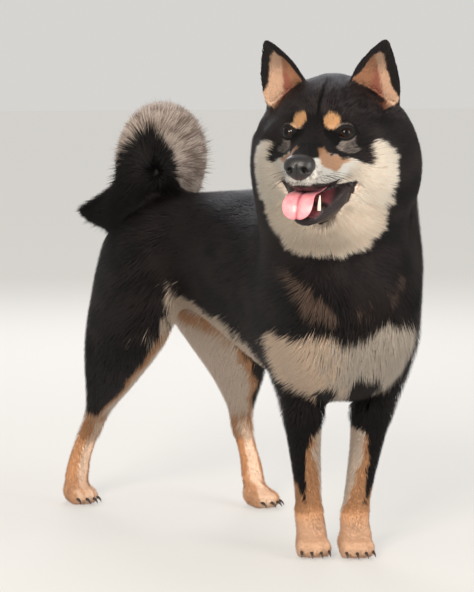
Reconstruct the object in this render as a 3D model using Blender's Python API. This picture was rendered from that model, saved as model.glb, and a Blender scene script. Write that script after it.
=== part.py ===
"""A life-size shiba inu that stands with its head turned to its right, as one still model in named solids.

The design frame has +X to the dog's left, -Y the way it faces, +Z up and the floor at zero, in metres.
The outline is the coat's. Lofted bodies are fused into one form, which thin cuts then part into nodes.
"""

import math

import bmesh
import bpy
import numpy as np
from mathutils import Matrix, Vector

# Driving dimensions, coat included
WITHERS_HEIGHT = 0.402
BRISKET_HEIGHT = 0.167
CHEST_HALF_WIDTH = 0.088
LOIN_HALF_WIDTH = 0.072
CHEST_FRONT_Y = -0.234
BUTTOCK_Y = 0.242
NECK_HALF_WIDTH = 0.090
MID_BACK = (0.014, -0.02)  # x and y of the part of the spine that lies farthest to the dog's left
FORE_BEND = 1.0  # how fast the spine swings back to the dog's right, ahead of there and behind it
HIND_BEND = 1.3
CHEST_HEADING = math.radians(-18.0)  # the forequarters face to the dog's right

# Head frame: its origin is midway between the eyes, and it is turned about the upright and tipped
EYE_LEVEL = Vector((-0.0814, -0.2244, 0.4605))
HEAD_TURN = math.radians(48.0)
HEAD_TIP = math.radians(-3.0)
MUZZLE_REACH = 0.060
EYE_SET = (-0.0085, 0.0280, 0.0)  # middle of the left eyeball: forward, left and up
EYEBALL_RADIUS = 0.0105

# Making
GAP = 0.0003  # between two solids that meet
FORM_VOXEL = 0.003
BODY_SHARE = 0.013  # of the fused form's faces that stay after it is thinned
HEAD_SHARE = 0.033
FOOT_SHARE = 0.031
TAIL_SHARE = 0.030
FORWARD = Vector((0, -1, 0))
UP = Vector((0, 0, 1))
CHEST_AHEAD = Vector((math.sin(CHEST_HEADING), -math.cos(CHEST_HEADING), 0))


def clear_scene():
    for old in list(bpy.data.objects):
        bpy.data.objects.remove(old)


def coat_material(name, colour, roughness):
    """A Principled finish of one linear colour."""
    made = bpy.data.materials.new(name)
    made.use_nodes = True
    shader = made.node_tree.nodes["Principled BSDF"]
    shader.inputs["Base Color"].default_value = (*colour, 1.0)
    shader.inputs["Roughness"].default_value = roughness
    shader.inputs["Metallic"].default_value = 0.0
    return made


def head_axes():
    """The head's forward, left and up directions."""
    turn = Matrix.Rotation(-HEAD_TURN, 3, "Z")
    tip = Matrix.Rotation(-HEAD_TIP, 3, "X")
    whole = turn @ tip
    return whole @ FORWARD, whole @ Vector((1, 0, 0)), whole @ UP


def at_head(forward, left, up):
    """A place in the design frame from one in the head frame."""
    ahead, leftward, upward = head_axes()
    return EYE_LEVEL + ahead * forward + leftward * left + upward * up


def smooth_rows(rows, steps):
    """Rows of numbers on one smooth curve through the rows given."""
    rows = np.array(rows, float)
    padded = np.vstack([2 * rows[0] - rows[1], rows, 2 * rows[-1] - rows[-2]])
    found = []
    for i in range(1, len(padded) - 2):
        before, here, after, beyond = padded[i - 1 : i + 3]
        for t in np.arange(steps) / steps:
            found.append(
                here
                + 0.5 * t * (after - before)
                + t**2 * (before - 2.5 * here + 2 * after - 0.5 * beyond)
                + t**3 * (1.5 * (here - after) + 0.5 * (beyond - before))
            )
    found.append(rows[-1])
    return np.array(found)


def mesh_object(name, shape):
    """A new object from a bmesh, with its faces pointing out."""
    bmesh.ops.recalc_face_normals(shape, faces=shape.faces)
    mesh = bpy.data.meshes.new(name)
    shape.to_mesh(mesh)
    shape.free()
    made = bpy.data.objects.new(name, mesh)
    bpy.context.scene.collection.objects.link(made)
    return made


def loft(name, rows, rise, squareness=2.0, sides=24, steps=4, turning=False):
    """A closed lofted body. A row: a ring's centre x, y, z, then its reach sideways, along rise and against it.

    Every ring holds the rise direction itself, unless the rings are turning with the path.
    """
    rings = smooth_rows(rows, steps)
    centres = rings[:, :3]
    shape = bmesh.new()
    loops = []
    for centre, tangent, reach in zip(centres, np.gradient(centres, axis=0), rings[:, 3:]):
        along = Vector(tangent).normalized()
        side = along.cross(rise).normalized()
        up = side.cross(along) if turning else rise
        width, above, below = np.maximum(reach, 0.0005)
        loop = []
        for k in range(sides):
            c, s = math.cos(2 * math.pi * k / sides), math.sin(2 * math.pi * k / sides)
            r = (abs(c) ** squareness + abs(s) ** squareness) ** (-1 / squareness)
            height = (above if s > 0 else below) * r * s
            loop.append(shape.verts.new(Vector(centre) + side * (width * r * c) + up * height))
        loops.append(loop)
    for first, second in zip(loops, loops[1:]):
        for k in range(sides):
            after = (k + 1) % sides
            shape.faces.new((first[k], first[after], second[after], second[k]))
    shape.faces.new(loops[0])
    shape.faces.new(loops[-1])
    return mesh_object(name, shape)


def head_loft(name, rows, squareness=2.0, sides=24, steps=4, turning=False):
    """A loft from nose to occiput. A row: forward, left, level, half width, height above and depth below."""
    placed = [(*at_head(a, b, c), width, above, below) for a, b, c, width, above, below in rows]
    return loft(name, placed, head_axes()[2], squareness, sides, steps, turning)


def ball(name, centre, radii, axes=None, segments=16):
    """An ellipsoid with its radii along the given axes."""
    shape = bmesh.new()
    bmesh.ops.create_uvsphere(shape, u_segments=segments, v_segments=segments // 2 + 2, radius=1.0)
    axes = axes or (Vector((1, 0, 0)), Vector((0, 1, 0)), UP)
    for vertex in shape.verts:
        x, y, z = vertex.co
        vertex.co = centre + axes[0] * (x * radii[0]) + axes[1] * (y * radii[1]) + axes[2] * (z * radii[2])
    return mesh_object(name, shape)


def head_ball(name, place, radii, segments=16):
    """An ellipsoid in the head frame: place and radii are forward, left, up."""
    return ball(name, at_head(*place), radii, head_axes(), segments)


def evaluated_mesh(made):
    graph = bpy.context.evaluated_depsgraph_get()
    return bpy.data.meshes.new_from_object(made.evaluated_get(graph))


def apply_modifiers(made):
    """Keeps what the modifiers make as the object's own mesh."""
    bpy.context.view_layer.update()
    mesh = evaluated_mesh(made)
    made.modifiers.clear()
    made.data = mesh
    return made


def joined(name, pieces):
    """One object from several, which are removed."""
    shape = bmesh.new()
    for piece in pieces:
        shape.from_mesh(piece.data)
        bpy.data.objects.remove(piece)
    return mesh_object(name, shape)


def fuse(form, voxel):
    """Makes one closed surface of overlapping closed bodies."""
    remesh = form.modifiers.new("fuse", "REMESH")
    remesh.mode = "VOXEL"
    remesh.voxel_size = voxel
    return apply_modifiers(form)


def relax(form, weight, times):
    """Rounds the joins, most where weight(place) is 1."""
    group = form.vertex_groups.new(name="relax")
    for vertex in form.data.vertices:
        group.add([vertex.index], weight(vertex.co), "REPLACE")
    smooth = form.modifiers.new("relax", "SMOOTH")
    smooth.factor = 0.5
    smooth.iterations = times
    smooth.vertex_group = group.name
    apply_modifiers(form)
    form.vertex_groups.clear()
    return form


def thin_out(form, region, share):
    """Collapses edges among the faces whose middles are in the region, until that share of them is left."""
    for other in bpy.context.selected_objects:
        other.select_set(False)
    bpy.context.view_layer.objects.active = form
    form.select_set(True)
    form.data.vertices.foreach_set("select", [False] * len(form.data.vertices))
    form.data.edges.foreach_set("select", [False] * len(form.data.edges))
    for polygon in form.data.polygons:
        polygon.select = region(polygon.center)
    bpy.ops.object.mode_set(mode="EDIT")
    bpy.ops.mesh.select_mode(type="FACE")
    bpy.ops.mesh.decimate(ratio=share)
    bpy.ops.object.mode_set(mode="OBJECT")
    return form


def step_between(value, low, high):
    """0 below low, 1 above high and smooth between."""
    t = min(1.0, max(0.0, (value - low) / (high - low)))
    return t * t * (3 - 2 * t)


def cut(form, place, normal, names):
    """Parts a closed form with a thin plane cut: the side that the normal points to, then the other."""
    normal = Vector(normal).normalized()
    whole = form.data
    bpy.data.objects.remove(form)
    made = []
    for name, way in zip(names, (1, -1)):
        shape = bmesh.new()
        shape.from_mesh(whole)
        bmesh.ops.bisect_plane(
            shape,
            geom=shape.verts[:] + shape.edges[:] + shape.faces[:],
            dist=1e-5,
            plane_co=Vector(place) + normal * (way * GAP / 2),
            plane_no=normal * way,
            clear_inner=True,
        )
        rim = [edge for edge in shape.edges if edge.is_boundary]
        bmesh.ops.holes_fill(shape, edges=rim, sides=0)
        bmesh.ops.triangulate(shape, faces=shape.faces)
        made.append(mesh_object(name, shape))
    return made


def helper(made):
    """Hides a shape that only cuts others."""
    made.hide_render = True
    made.display_type = "WIRE"
    return made


def swollen(made):
    """A cutter that stands a gap's width proud of a solid."""
    cutter = bpy.data.objects.new(made.name + "_cutter", made.data.copy())
    bpy.context.scene.collection.objects.link(cutter)
    grow = cutter.modifiers.new("grow", "DISPLACE")
    grow.strength = GAP
    grow.mid_level = 0.0
    return helper(apply_modifiers(cutter))


def combine(made, other, operation):
    """Applies one Boolean and removes the other shape."""
    step = made.modifiers.new("combine", "BOOLEAN")
    step.operation = operation
    step.solver = "EXACT"
    step.object = other
    apply_modifiers(made)
    bpy.data.objects.remove(other)
    return made


def largest_body(made):
    """Drops the crumbs that a Boolean can leave beside the solid."""
    shape = bmesh.new()
    shape.from_mesh(made.data)
    shape.verts.ensure_lookup_table()
    unseen = set(shape.verts)
    bodies = []
    while unseen:
        found = {unseen.pop()}
        edge_of = list(found)
        while edge_of:
            vertex = edge_of.pop()
            for edge in vertex.link_edges:
                other = edge.other_vert(vertex)
                if other in unseen:
                    unseen.discard(other)
                    found.add(other)
                    edge_of.append(other)
        bodies.append(found)
    keep = max(bodies, key=len)
    bmesh.ops.delete(shape, geom=[v for v in shape.verts if v not in keep], context="VERTS")
    shape.to_mesh(made.data)
    shape.free()
    return made


def spine_x(y):
    """The spine's x at y. Chest and rump both swing to the dog's right of the mid back."""
    away = y - MID_BACK[1]
    bent = min(away, 0.17)
    straight = away - bent
    return MID_BACK[0] - (HIND_BEND if away > 0 else FORE_BEND) * (bent**2 + 2 * bent * straight)


def trunk():
    """Chest, loin and rump, lofted from the breastbone to the buttocks."""
    back = WITHERS_HEIGHT
    sections = (
        # y, top, bottom, half width
        (CHEST_FRONT_Y, 0.312, 0.235, 0.040),
        (-0.218, 0.352, 0.197, 0.066),
        (-0.190, 0.384, 0.174, 0.079),
        (-0.150, back - 0.004, BRISKET_HEIGHT - 0.001, CHEST_HALF_WIDTH),
        (-0.100, back, BRISKET_HEIGHT + 0.003, CHEST_HALF_WIDTH),
        (-0.040, back - 0.003, 0.179, CHEST_HALF_WIDTH - 0.001),
        (0.020, back - 0.008, 0.197, 0.083),
        (0.080, back - 0.012, 0.222, LOIN_HALF_WIDTH + 0.003),
        (0.125, back - 0.015, 0.243, LOIN_HALF_WIDTH),
        (0.170, back - 0.020, 0.254, LOIN_HALF_WIDTH + 0.002),
        (0.206, back - 0.036, 0.258, 0.066),
        (0.230, back - 0.060, 0.266, 0.052),
        (BUTTOCK_Y, 0.322, 0.280, 0.030),
    )
    rows = []
    for y, top, bottom, half_width in sections:
        middle, half_height = (top + bottom) / 2, (top - bottom) / 2
        rows.append((spine_x(y), y, middle, half_width, half_height, half_height))
    return loft("trunk", rows, UP, squareness=2.25, sides=28, steps=3)


def neck():
    """The thick maned neck, nearly upright, from the shoulders to the back of the skull."""
    rows = (
        # x, y, z, half width, reach to the front, reach to the back
        (0.006, -0.130, 0.270, NECK_HALF_WIDTH + 0.002, 0.098, 0.080),
        (0.005, -0.134, 0.315, NECK_HALF_WIDTH + 0.003, 0.098, 0.090),
        (0.001, -0.142, 0.355, NECK_HALF_WIDTH - 0.003, 0.095, 0.088),
        (-0.012, -0.152, 0.395, NECK_HALF_WIDTH, 0.087, 0.082),
        (-0.023, -0.164, 0.432, 0.087, 0.076, 0.074),
        (-0.031, -0.174, 0.465, 0.070, 0.060, 0.062),
        (-0.036, -0.180, 0.490, 0.040, 0.036, 0.040),
    )
    return loft("neck", rows, CHEST_AHEAD, sides=28)


def skull_and_muzzle():
    """The head from the nose to the occiput, with the upper jaw but not the lower one."""
    rows = (
        # forward, left, level of greatest width, half width, height above, depth below
        (MUZZLE_REACH, 0, -0.0380, 0.0150, 0.0165, 0.0130),
        (0.050, 0, -0.0400, 0.0195, 0.0235, 0.0150),
        (0.038, 0, -0.0415, 0.0228, 0.0300, 0.0165),
        (0.025, 0, -0.0415, 0.0262, 0.0355, 0.0165),
        (0.013, 0, -0.0400, 0.0310, 0.0390, 0.0160),
        (0.003, 0, -0.0350, 0.0375, 0.0455, 0.0190),
        (-0.007, 0, -0.0290, 0.0450, 0.0550, 0.0260),
        (-0.018, 0, -0.0250, 0.0530, 0.0640, 0.0350),
        (-0.030, 0, -0.0220, 0.0600, 0.0700, 0.0440),
        (-0.045, 0, -0.0180, 0.0650, 0.0740, 0.0540),
        (-0.062, 0, -0.0120, 0.0660, 0.0710, 0.0620),
        (-0.082, 0, -0.0080, 0.0630, 0.0670, 0.0620),
        (-0.102, 0, -0.0050, 0.0560, 0.0560, 0.0550),
        (-0.118, 0, -0.0050, 0.0400, 0.0360, 0.0400),
    )
    return head_loft("skull", rows, squareness=2.1, sides=32, steps=3)


def cheeks():
    """The full cheeks, the bib of coat under the jaw and the black ruff behind them, as soft swellings."""
    pieces = []
    for side in (-1, 1):
        pieces.append(head_ball("cheek", (-0.044, side * 0.040, -0.036), (0.036, 0.043, 0.052)))
        pieces.append(head_ball("cheekbone", (-0.024, side * 0.030, -0.026), (0.030, 0.024, 0.026)))
        pieces.append(head_ball("ruff", (-0.074, side * 0.042, -0.040), (0.046, 0.055, 0.078)))
    pieces.append(head_ball("bib", (-0.036, 0.0, -0.082), (0.036, 0.064, 0.045)))
    pieces.append(head_ball("throat", (-0.060, 0.0, -0.070), (0.048, 0.080, 0.062)))
    return pieces


def foreleg(side, elbow, wrist, fetlock):
    """A foreleg from the shoulder muscle to the paw."""
    outwards = 1 if side == "left" else -1
    rows = (
        (elbow[0] - outwards * 0.012, elbow[1] - 0.004, 0.345, 0.022, 0.032, 0.028),
        (elbow[0] + outwards * 0.001, elbow[1] - 0.004, 0.295, 0.036, 0.054, 0.048),
        (elbow[0] + outwards * 0.010, elbow[1] - 0.003, 0.240, 0.0400, 0.052, 0.044),
        (elbow[0] + outwards * 0.002, elbow[1], elbow[2], 0.0330, 0.040, 0.036),
        (
            0.70 * elbow[0] + 0.30 * wrist[0],
            0.70 * elbow[1] + 0.30 * wrist[1],
            0.158,
            0.0245,
            0.028,
            0.027,
        ),
        (
            0.35 * elbow[0] + 0.65 * wrist[0],
            0.35 * elbow[1] + 0.65 * wrist[1],
            0.115,
            0.0195,
            0.0215,
            0.0215,
        ),
        (*wrist, 0.0178, 0.0190, 0.0190),
        (*fetlock, 0.0172, 0.0175, 0.0185),
        (fetlock[0], fetlock[1] - 0.007, 0.018, 0.0175, 0.018, 0.018),
    )
    return loft(f"foreleg_{side}", rows, CHEST_AHEAD, sides=20)


def hind_leg(side, line):
    """A hind leg: broad thigh, shank, hock and the upright foot below it, along its line of places."""
    girths = (
        # half width, reach to the front, reach to the back
        (0.024, 0.040, 0.040),
        (0.045, 0.072, 0.070),
        (0.047, 0.072, 0.082),
        (0.041, 0.066, 0.074),
        (0.033, 0.056, 0.052),
        (0.0255, 0.039, 0.035),
        (0.0185, 0.0215, 0.0225),
        (0.0150, 0.0165, 0.0185),
        (0.0145, 0.0150, 0.0150),
        (0.0160, 0.0170, 0.0165),
    )
    rows = [(*place, *girth) for place, girth in zip(line, girths)]
    return loft(f"hind_leg_{side}", rows, FORWARD, sides=20)


def paw(middle, heading, size=1.0):
    """A rounded, tight paw of four toes, as overlapping swellings about its middle on the floor."""
    ahead = Vector((math.sin(heading), -math.cos(heading), 0))
    across = Vector((math.cos(heading), math.sin(heading), 0))
    axes = (ahead, across, UP)
    centre = Vector(middle)
    pieces = [ball("pad", centre + UP * 0.0145 - ahead * 0.006, (0.023 * size, 0.0175 * size, 0.018), axes)]
    for spread, reach in ((-1.45, 0.008), (-0.50, 0.0145), (0.50, 0.0145), (1.45, 0.008)):
        toe = centre + across * (spread * 0.0092 * size) + ahead * (reach * size) + UP * 0.0105
        fan = heading + spread * 0.09
        along = Vector((math.sin(fan), -math.cos(fan), 0))
        toe_axes = (along, UP.cross(along), UP)
        pieces.append(ball("toe", toe, (0.0165 * size, 0.0070 * size, 0.0125), toe_axes, 12))
    return pieces


FORELEGS = {
    # elbow, wrist, fetlock, middle of the paw, and the way the paw points
    "right": (
        (-0.031, -0.110, 0.195),
        (-0.0285, -0.124, 0.076),
        (-0.029, -0.129, 0.040),
        (-0.034, -0.141, 0),
        -20,
    ),
    "left": (
        (0.051, -0.140, 0.195),
        (0.0195, -0.153, 0.076),
        (0.0110, -0.157, 0.040),
        (0.0040, -0.167, 0),
        -14,
    ),
}
HIND_LEGS = {
    # the line down the leg from the hip to the heel, the middle of the paw, and the way the paw points
    "right": (
        (
            (-0.060, 0.172, 0.362),
            (-0.073, 0.172, 0.320),
            (-0.081, 0.175, 0.260),
            (-0.091, 0.190, 0.205),
            (-0.094, 0.212, 0.170),
            (-0.092, 0.235, 0.141),
            (-0.090, 0.261, 0.114),
            (-0.092, 0.282, 0.087),
            (-0.101, 0.289, 0.058),
            (-0.108, 0.288, 0.026),
        ),
        (-0.109, 0.278, 0),
        8,
    ),
    "left": (
        (
            (-0.010, 0.196, 0.362),
            (0.002, 0.194, 0.320),
            (0.012, 0.180, 0.262),
            (0.030, 0.158, 0.212),
            (0.047, 0.160, 0.173),
            (0.058, 0.171, 0.145),
            (0.068, 0.184, 0.117),
            (0.075, 0.197, 0.089),
            (0.075, 0.178, 0.056),
            (0.070, 0.160, 0.026),
        ),
        (0.070, 0.145, 0),
        14,
    ),
}
CURL_TURN = math.radians(30)


def body_form():
    """Everything of flesh but the lower jaw, the ears and the tail, fused and rounded as one form."""
    pieces = [trunk(), neck(), skull_and_muzzle(), *cheeks()]
    for side, (elbow, wrist, fetlock, middle, heading) in FORELEGS.items():
        pieces.append(foreleg(side, elbow, wrist, fetlock))
        pieces += paw(middle, math.radians(heading))
    for side, (line, middle, heading) in HIND_LEGS.items():
        pieces.append(hind_leg(side, line))
        pieces += paw(middle, math.radians(heading), 0.95)
    form = fuse(joined("form", pieces), FORM_VOXEL)
    face = at_head(0.01, 0, -0.02)

    def on_body(place):
        return step_between((place - face).length, 0.050, 0.115) * step_between(place.z, 0.035, 0.08)

    relax(form, lambda place: 1.0, 3)
    relax(form, on_body, 22)
    thin_out(form, lambda place: on_body(place) > 0.5, BODY_SHARE)
    thin_out(form, lambda place: place.z < 0.06, FOOT_SHARE)
    return thin_out(form, lambda place: place.z > 0.30 and on_body(place) <= 0.5, HEAD_SHARE)


def ear(side_name):
    """An erect cupped ear: a curved, nearly triangular shell, open to the front, rooted in the skull."""
    side = 1 if side_name == "left" else -1
    inner_root, inner_tip = (-0.040, 0.024, 0.044), (-0.036, 0.0625, 0.0955)
    outer_root, outer_tip = (-0.063, 0.072, 0.010), (-0.037, 0.0690, 0.0935)
    rows, columns = 8, 7
    thickness = 0.0055
    depth = 0.017

    def edge_point(root, tip, t, bulge):
        """A point on the ear's edge, bowed outwards between its root and the blunt tip."""
        place = [root[i] + (tip[i] - root[i]) * t for i in range(3)]
        bow = bulge * math.sin(math.pi * min(1.0, t) ** 0.8)
        return Vector((place[0], place[1] + bow, place[2] + abs(bow) * 0.5))

    def surface_point(t, v, push):
        inner = edge_point(inner_root, inner_tip, t, -0.0065)
        outer = edge_point(outer_root, outer_tip, t, 0.0060)
        across = outer - inner
        facing = across.cross(Vector(inner_tip) - Vector(inner_root)).normalized()
        if facing.x < 0:
            facing = -facing
        cup = (1 - (2 * v - 1) ** 2) * depth * (1 - t) ** 0.6
        place = inner + across * v - facing * (cup + push)
        return at_head(place.x, side * place.y, place.z)

    shape = bmesh.new()
    front, back = [], []
    for i in range(rows + 1):
        t = i / rows
        front.append([shape.verts.new(surface_point(t, j / columns, 0.0)) for j in range(columns + 1)])
        edge = [min(j, columns - j) for j in range(columns + 1)]
        taper = 0.55 + 0.45 * (1 - t)
        back.append(
            [
                shape.verts.new(surface_point(t, j / columns, thickness * taper * (1 if edge[j] else 0.45)))
                for j in range(columns + 1)
            ]
        )
    for i in range(rows):
        for j in range(columns):
            shape.faces.new((front[i][j], front[i][j + 1], front[i + 1][j + 1], front[i + 1][j]))
            shape.faces.new((back[i][j], back[i + 1][j], back[i + 1][j + 1], back[i][j + 1]))
        for j in (0, columns):
            shape.faces.new((front[i][j], front[i + 1][j], back[i + 1][j], back[i][j]))
    for i in (0, rows):
        for j in range(columns):
            shape.faces.new((front[i][j], back[i][j], back[i][j + 1], front[i][j + 1]))
    return mesh_object(f"ear_{side_name}", shape)


def lower_jaw():
    """The lower jaw, dropped open, from the throat to the chin, with its two lower canines."""
    rows = (
        # forward, left, level, half width, height above, depth below
        (0.0480, 0, -0.0850, 0.0060, 0.0030, 0.0050),
        (0.0440, 0, -0.0835, 0.0125, 0.0050, 0.0085),
        (0.0330, 0, -0.0775, 0.0185, 0.0065, 0.0140),
        (0.0150, 0, -0.0685, 0.0260, 0.0080, 0.0240),
        (-0.0040, 0, -0.0570, 0.0340, 0.0095, 0.0330),
        (-0.0300, 0, -0.0470, 0.0390, 0.0100, 0.0400),
    )
    jaw = head_loft("lower_jaw", rows, squareness=2.4, sides=14, steps=2)
    for side in (-1, 1):
        canine = (
            (0.0330, side * 0.0145, -0.0790, 0.0026, 0.0026, 0.0026),
            (0.0350, side * 0.0165, -0.0680, 0.0021, 0.0022, 0.0022),
            (0.0350, side * 0.0175, -0.0625, 0.0008, 0.0009, 0.0009),
        )
        placed = [(*at_head(a, b, c), width, above, below) for a, b, c, width, above, below in canine]
        combine(jaw, loft("canine", placed, head_axes()[0], sides=6, steps=1), "UNION")
    return jaw


def tongue():
    """The tongue, which lies in the lower jaw and hangs over the lip."""
    rows = (
        (-0.005, 0.000, -0.0510, 0.0150, 0.0028, 0.0028),
        (0.015, -0.001, -0.0575, 0.0155, 0.0030, 0.0030),
        (0.033, -0.003, -0.0640, 0.0145, 0.0028, 0.0028),
        (0.0465, -0.0035, -0.0685, 0.0158, 0.0026, 0.0026),
        (0.0530, -0.0040, -0.0755, 0.0150, 0.0025, 0.0025),
        (0.0550, -0.0040, -0.0820, 0.0085, 0.0020, 0.0020),
    )
    return head_loft("tongue", rows, squareness=2.6, sides=12, steps=2, turning=True)


def nose():
    """The bare nose leather, broad above with a groove below, standing just proud of the muzzle."""
    rows = (
        (0.0685, 0, -0.0300, 0.0060, 0.0050, 0.0060),
        (0.0670, 0, -0.0300, 0.0115, 0.0085, 0.0095),
        (0.0630, 0, -0.0295, 0.0150, 0.0110, 0.0120),
        (0.0570, 0, -0.0290, 0.0150, 0.0115, 0.0115),
        (0.0500, 0, -0.0290, 0.0110, 0.0090, 0.0080),
    )
    return head_loft("nose", rows, squareness=2.3, sides=14, steps=2)


def tail_form():
    """The curled tail with its fringe: up from the croup, over to the dog's right, down, the tip to the rear."""
    rows = (
        # across the curl, back from its plane, up, half width, reach out of the curl and into it
        (-0.120, 0.150, 0.345, 0.026, 0.026, 0.022),
        (-0.108, 0.164, 0.385, 0.030, 0.028, 0.024),
        (-0.101, 0.166, 0.424, 0.033, 0.027, 0.028),
        (-0.113, 0.160, 0.450, 0.035, 0.036, 0.030),
        (-0.137, 0.150, 0.454, 0.036, 0.038, 0.030),
        (-0.155, 0.140, 0.428, 0.035, 0.028, 0.030),
        (-0.160, 0.134, 0.394, 0.034, 0.022, 0.032),
        (-0.176, 0.134, 0.368, 0.031, 0.026, 0.030),
        (-0.204, 0.140, 0.360, 0.019, 0.017, 0.018),
        (-0.230, 0.146, 0.361, 0.003, 0.003, 0.003),
    )
    turn = Matrix.Rotation(-CURL_TURN, 3, "Z")
    placed = [(*(turn @ Vector(row[:3])), *row[3:]) for row in rows]
    middle = turn @ Vector((-0.135, 0.150, 0.410))
    curl_axes = (turn @ Vector((1, 0, 0)), turn @ Vector((0, 1, 0)), UP)
    core = ball("core", middle, (0.036, 0.034, 0.045), curl_axes)
    curl = loft("curl", placed, turn @ Vector((-0.62, 0.0, 0.78)), sides=20, steps=4, turning=True)
    tail = fuse(joined("tail", [curl, core]), FORM_VOXEL)
    relax(tail, lambda place: 1.0, 8)
    return thin_out(tail, lambda place: True, TAIL_SHARE)


def eyeballs():
    """The two eyeballs, and the slightly larger sockets that are cut for them."""
    eyes, sockets = [], []
    for side_name, side in (("right", -1), ("left", 1)):
        place = (EYE_SET[0], side * EYE_SET[1], EYE_SET[2])
        eyes.append(head_ball(f"eye_{side_name}", place, (EYEBALL_RADIUS,) * 3, 14))
        sockets.append(helper(head_ball("socket", place, (EYEBALL_RADIUS + GAP,) * 3, 14)))
    return eyes, sockets


def fitted_pieces(form):
    """Ears, jaw, nose, tail and tongue, each cut back to where it meets the form, the tongue to the jaw too."""
    pieces = [ear("right"), ear("left"), lower_jaw(), nose(), tail_form(), tongue()]
    whole = swollen(form)
    for piece in pieces:
        cutter = bpy.data.objects.new("cutter", whole.data)
        bpy.context.scene.collection.objects.link(cutter)
        combine(piece, helper(cutter), "DIFFERENCE")
        largest_body(piece)
    bpy.data.objects.remove(whole)
    jaw, tongue_piece = pieces[2], pieces[5]
    combine(tongue_piece, swollen(jaw), "DIFFERENCE")
    largest_body(tongue_piece)
    return pieces


def parted(form):
    """The form cut into head, neck, trunk, legs and feet. Each plane is a place on it and a normal."""
    collar = ((0, -0.07, 0.385), (0, -0.504, 0.864))
    ahead, _, upward = head_axes()
    nape = (at_head(-0.088, 0, -0.05), ahead * 0.93 + upward * 0.37)
    rib_end = ((0, 0.02, 0), FORWARD)
    elbows = ((0, 0, BRISKET_HEIGHT - 0.006), UP)
    thighs = ((0, 0.07, 0.196), (0, -0.313, 0.95))
    croup = ((0, 0.10, 0), FORWARD)
    between_forelegs = ((-0.0045, -0.1385, 0), (0.856, -0.517, 0))
    between_hind_legs = ((-0.037, 0.17, 0), (1, 0, 0))
    forepaw_top, hind_foot_top = 0.052, 0.088

    upper, rest = cut(form, *collar, ("upper", "rest"))
    parts = cut(upper, *nape, ("head", "neck"))
    front, rear = cut(rest, *rib_end, ("front", "rear"))
    chest, forelegs = cut(front, *elbows, ("chest", "forelegs"))
    hindquarters, hind_legs = cut(rear, *thighs, ("hindquarters", "hind_legs"))
    parts += [chest, *cut(hindquarters, *croup, ("loin", "rump"))]
    fore_pair = cut(forelegs, *between_forelegs, ("left", "right"))
    hind_pair = cut(hind_legs, *between_hind_legs, ("left", "right"))
    for side_name, leg in zip(("left", "right"), fore_pair):
        parts += cut(leg, (0, 0, forepaw_top), UP, (f"foreleg_{side_name}", f"forepaw_{side_name}"))
    for side_name, leg in zip(("left", "right"), hind_pair):
        parts += cut(leg, (0, 0, hind_foot_top), UP, (f"hind_leg_{side_name}", f"hind_foot_{side_name}"))
    return parts


def place_on_origin(parts):
    """Moves every solid so that the origin is at the middle of the whole, on the floor."""
    corners = np.array([vertex.co[:] for part in parts for vertex in part.data.vertices])
    low, high = corners.min(0), corners.max(0)
    shift = Matrix.Translation((-(low[0] + high[0]) / 2, -(low[1] + high[1]) / 2, -low[2]))
    for part in parts:
        part.data.transform(shift)


def dress(parts):
    """Gives each solid its own finish."""
    black = coat_material("black_coat", (0.012, 0.011, 0.012), 0.8)
    tan = coat_material("tan_coat", (0.60, 0.30, 0.13), 0.8)
    leather = coat_material("nose_leather", (0.012, 0.012, 0.014), 0.35)
    flesh = coat_material("tongue_flesh", (0.72, 0.22, 0.22), 0.4)
    eye_finish = coat_material("eye_surface", (0.010, 0.006, 0.004), 0.05)
    bare = {"nose": leather, "tongue": flesh, "eye_left": eye_finish, "eye_right": eye_finish}
    for part in parts:
        is_tan = part.name.startswith(("forepaw", "hind_foot", "lower_jaw"))
        part.data.materials.clear()
        part.data.materials.append(bare.get(part.name, tan if is_tan else black))
        if part.name.startswith("eye"):
            part.data.shade_smooth()


def main():
    clear_scene()
    above_floor, under_floor = cut(body_form(), (0, 0, 0), UP, ("form", "under_floor"))
    bpy.data.objects.remove(under_floor)
    pieces = fitted_pieces(above_floor)
    eyes, sockets = eyeballs()
    for socket in sockets:
        combine(above_floor, socket, "DIFFERENCE")
    parts = parted(above_floor) + pieces + eyes
    place_on_origin(parts)
    dress(parts)


main()
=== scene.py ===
import math

import bmesh
import bpy
import numpy as np
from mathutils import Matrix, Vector
from mathutils.bvhtree import BVHTree


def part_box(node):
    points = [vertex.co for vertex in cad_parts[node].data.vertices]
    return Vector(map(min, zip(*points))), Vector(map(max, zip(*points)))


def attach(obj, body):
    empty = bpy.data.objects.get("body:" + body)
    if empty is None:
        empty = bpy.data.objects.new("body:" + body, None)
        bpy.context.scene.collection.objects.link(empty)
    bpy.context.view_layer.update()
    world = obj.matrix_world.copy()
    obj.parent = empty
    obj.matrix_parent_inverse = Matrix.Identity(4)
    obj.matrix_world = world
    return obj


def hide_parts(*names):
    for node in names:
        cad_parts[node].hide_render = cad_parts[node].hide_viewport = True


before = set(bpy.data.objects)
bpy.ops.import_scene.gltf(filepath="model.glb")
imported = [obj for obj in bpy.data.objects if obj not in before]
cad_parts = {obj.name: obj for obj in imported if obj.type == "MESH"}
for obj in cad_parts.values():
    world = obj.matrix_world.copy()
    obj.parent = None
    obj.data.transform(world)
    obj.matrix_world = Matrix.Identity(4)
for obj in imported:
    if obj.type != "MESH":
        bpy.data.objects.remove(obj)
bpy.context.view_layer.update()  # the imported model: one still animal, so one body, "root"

# Camera: a portrait lens, a little above the dog's eyes, ahead of it and to its right.
# Its distance and tilt come from the horizon and the places of the four paws in the photo.
PHOTO_SIZE = (474, 592)
FOCAL_PIXELS = 2355
TILT_DOWN = math.radians(5.12)
UP = np.array((0.0, 0.0, 1.0))
LOOKS_ALONG = np.array((0.5, 0.866, 0.0))
RIGHTWARDS = np.array((0.866, -0.5, 0.0))
CAMERA_PLACE = (-1.3486, -2.3020, 0.51)
camera_data = bpy.data.cameras.new("portrait_camera")
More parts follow.
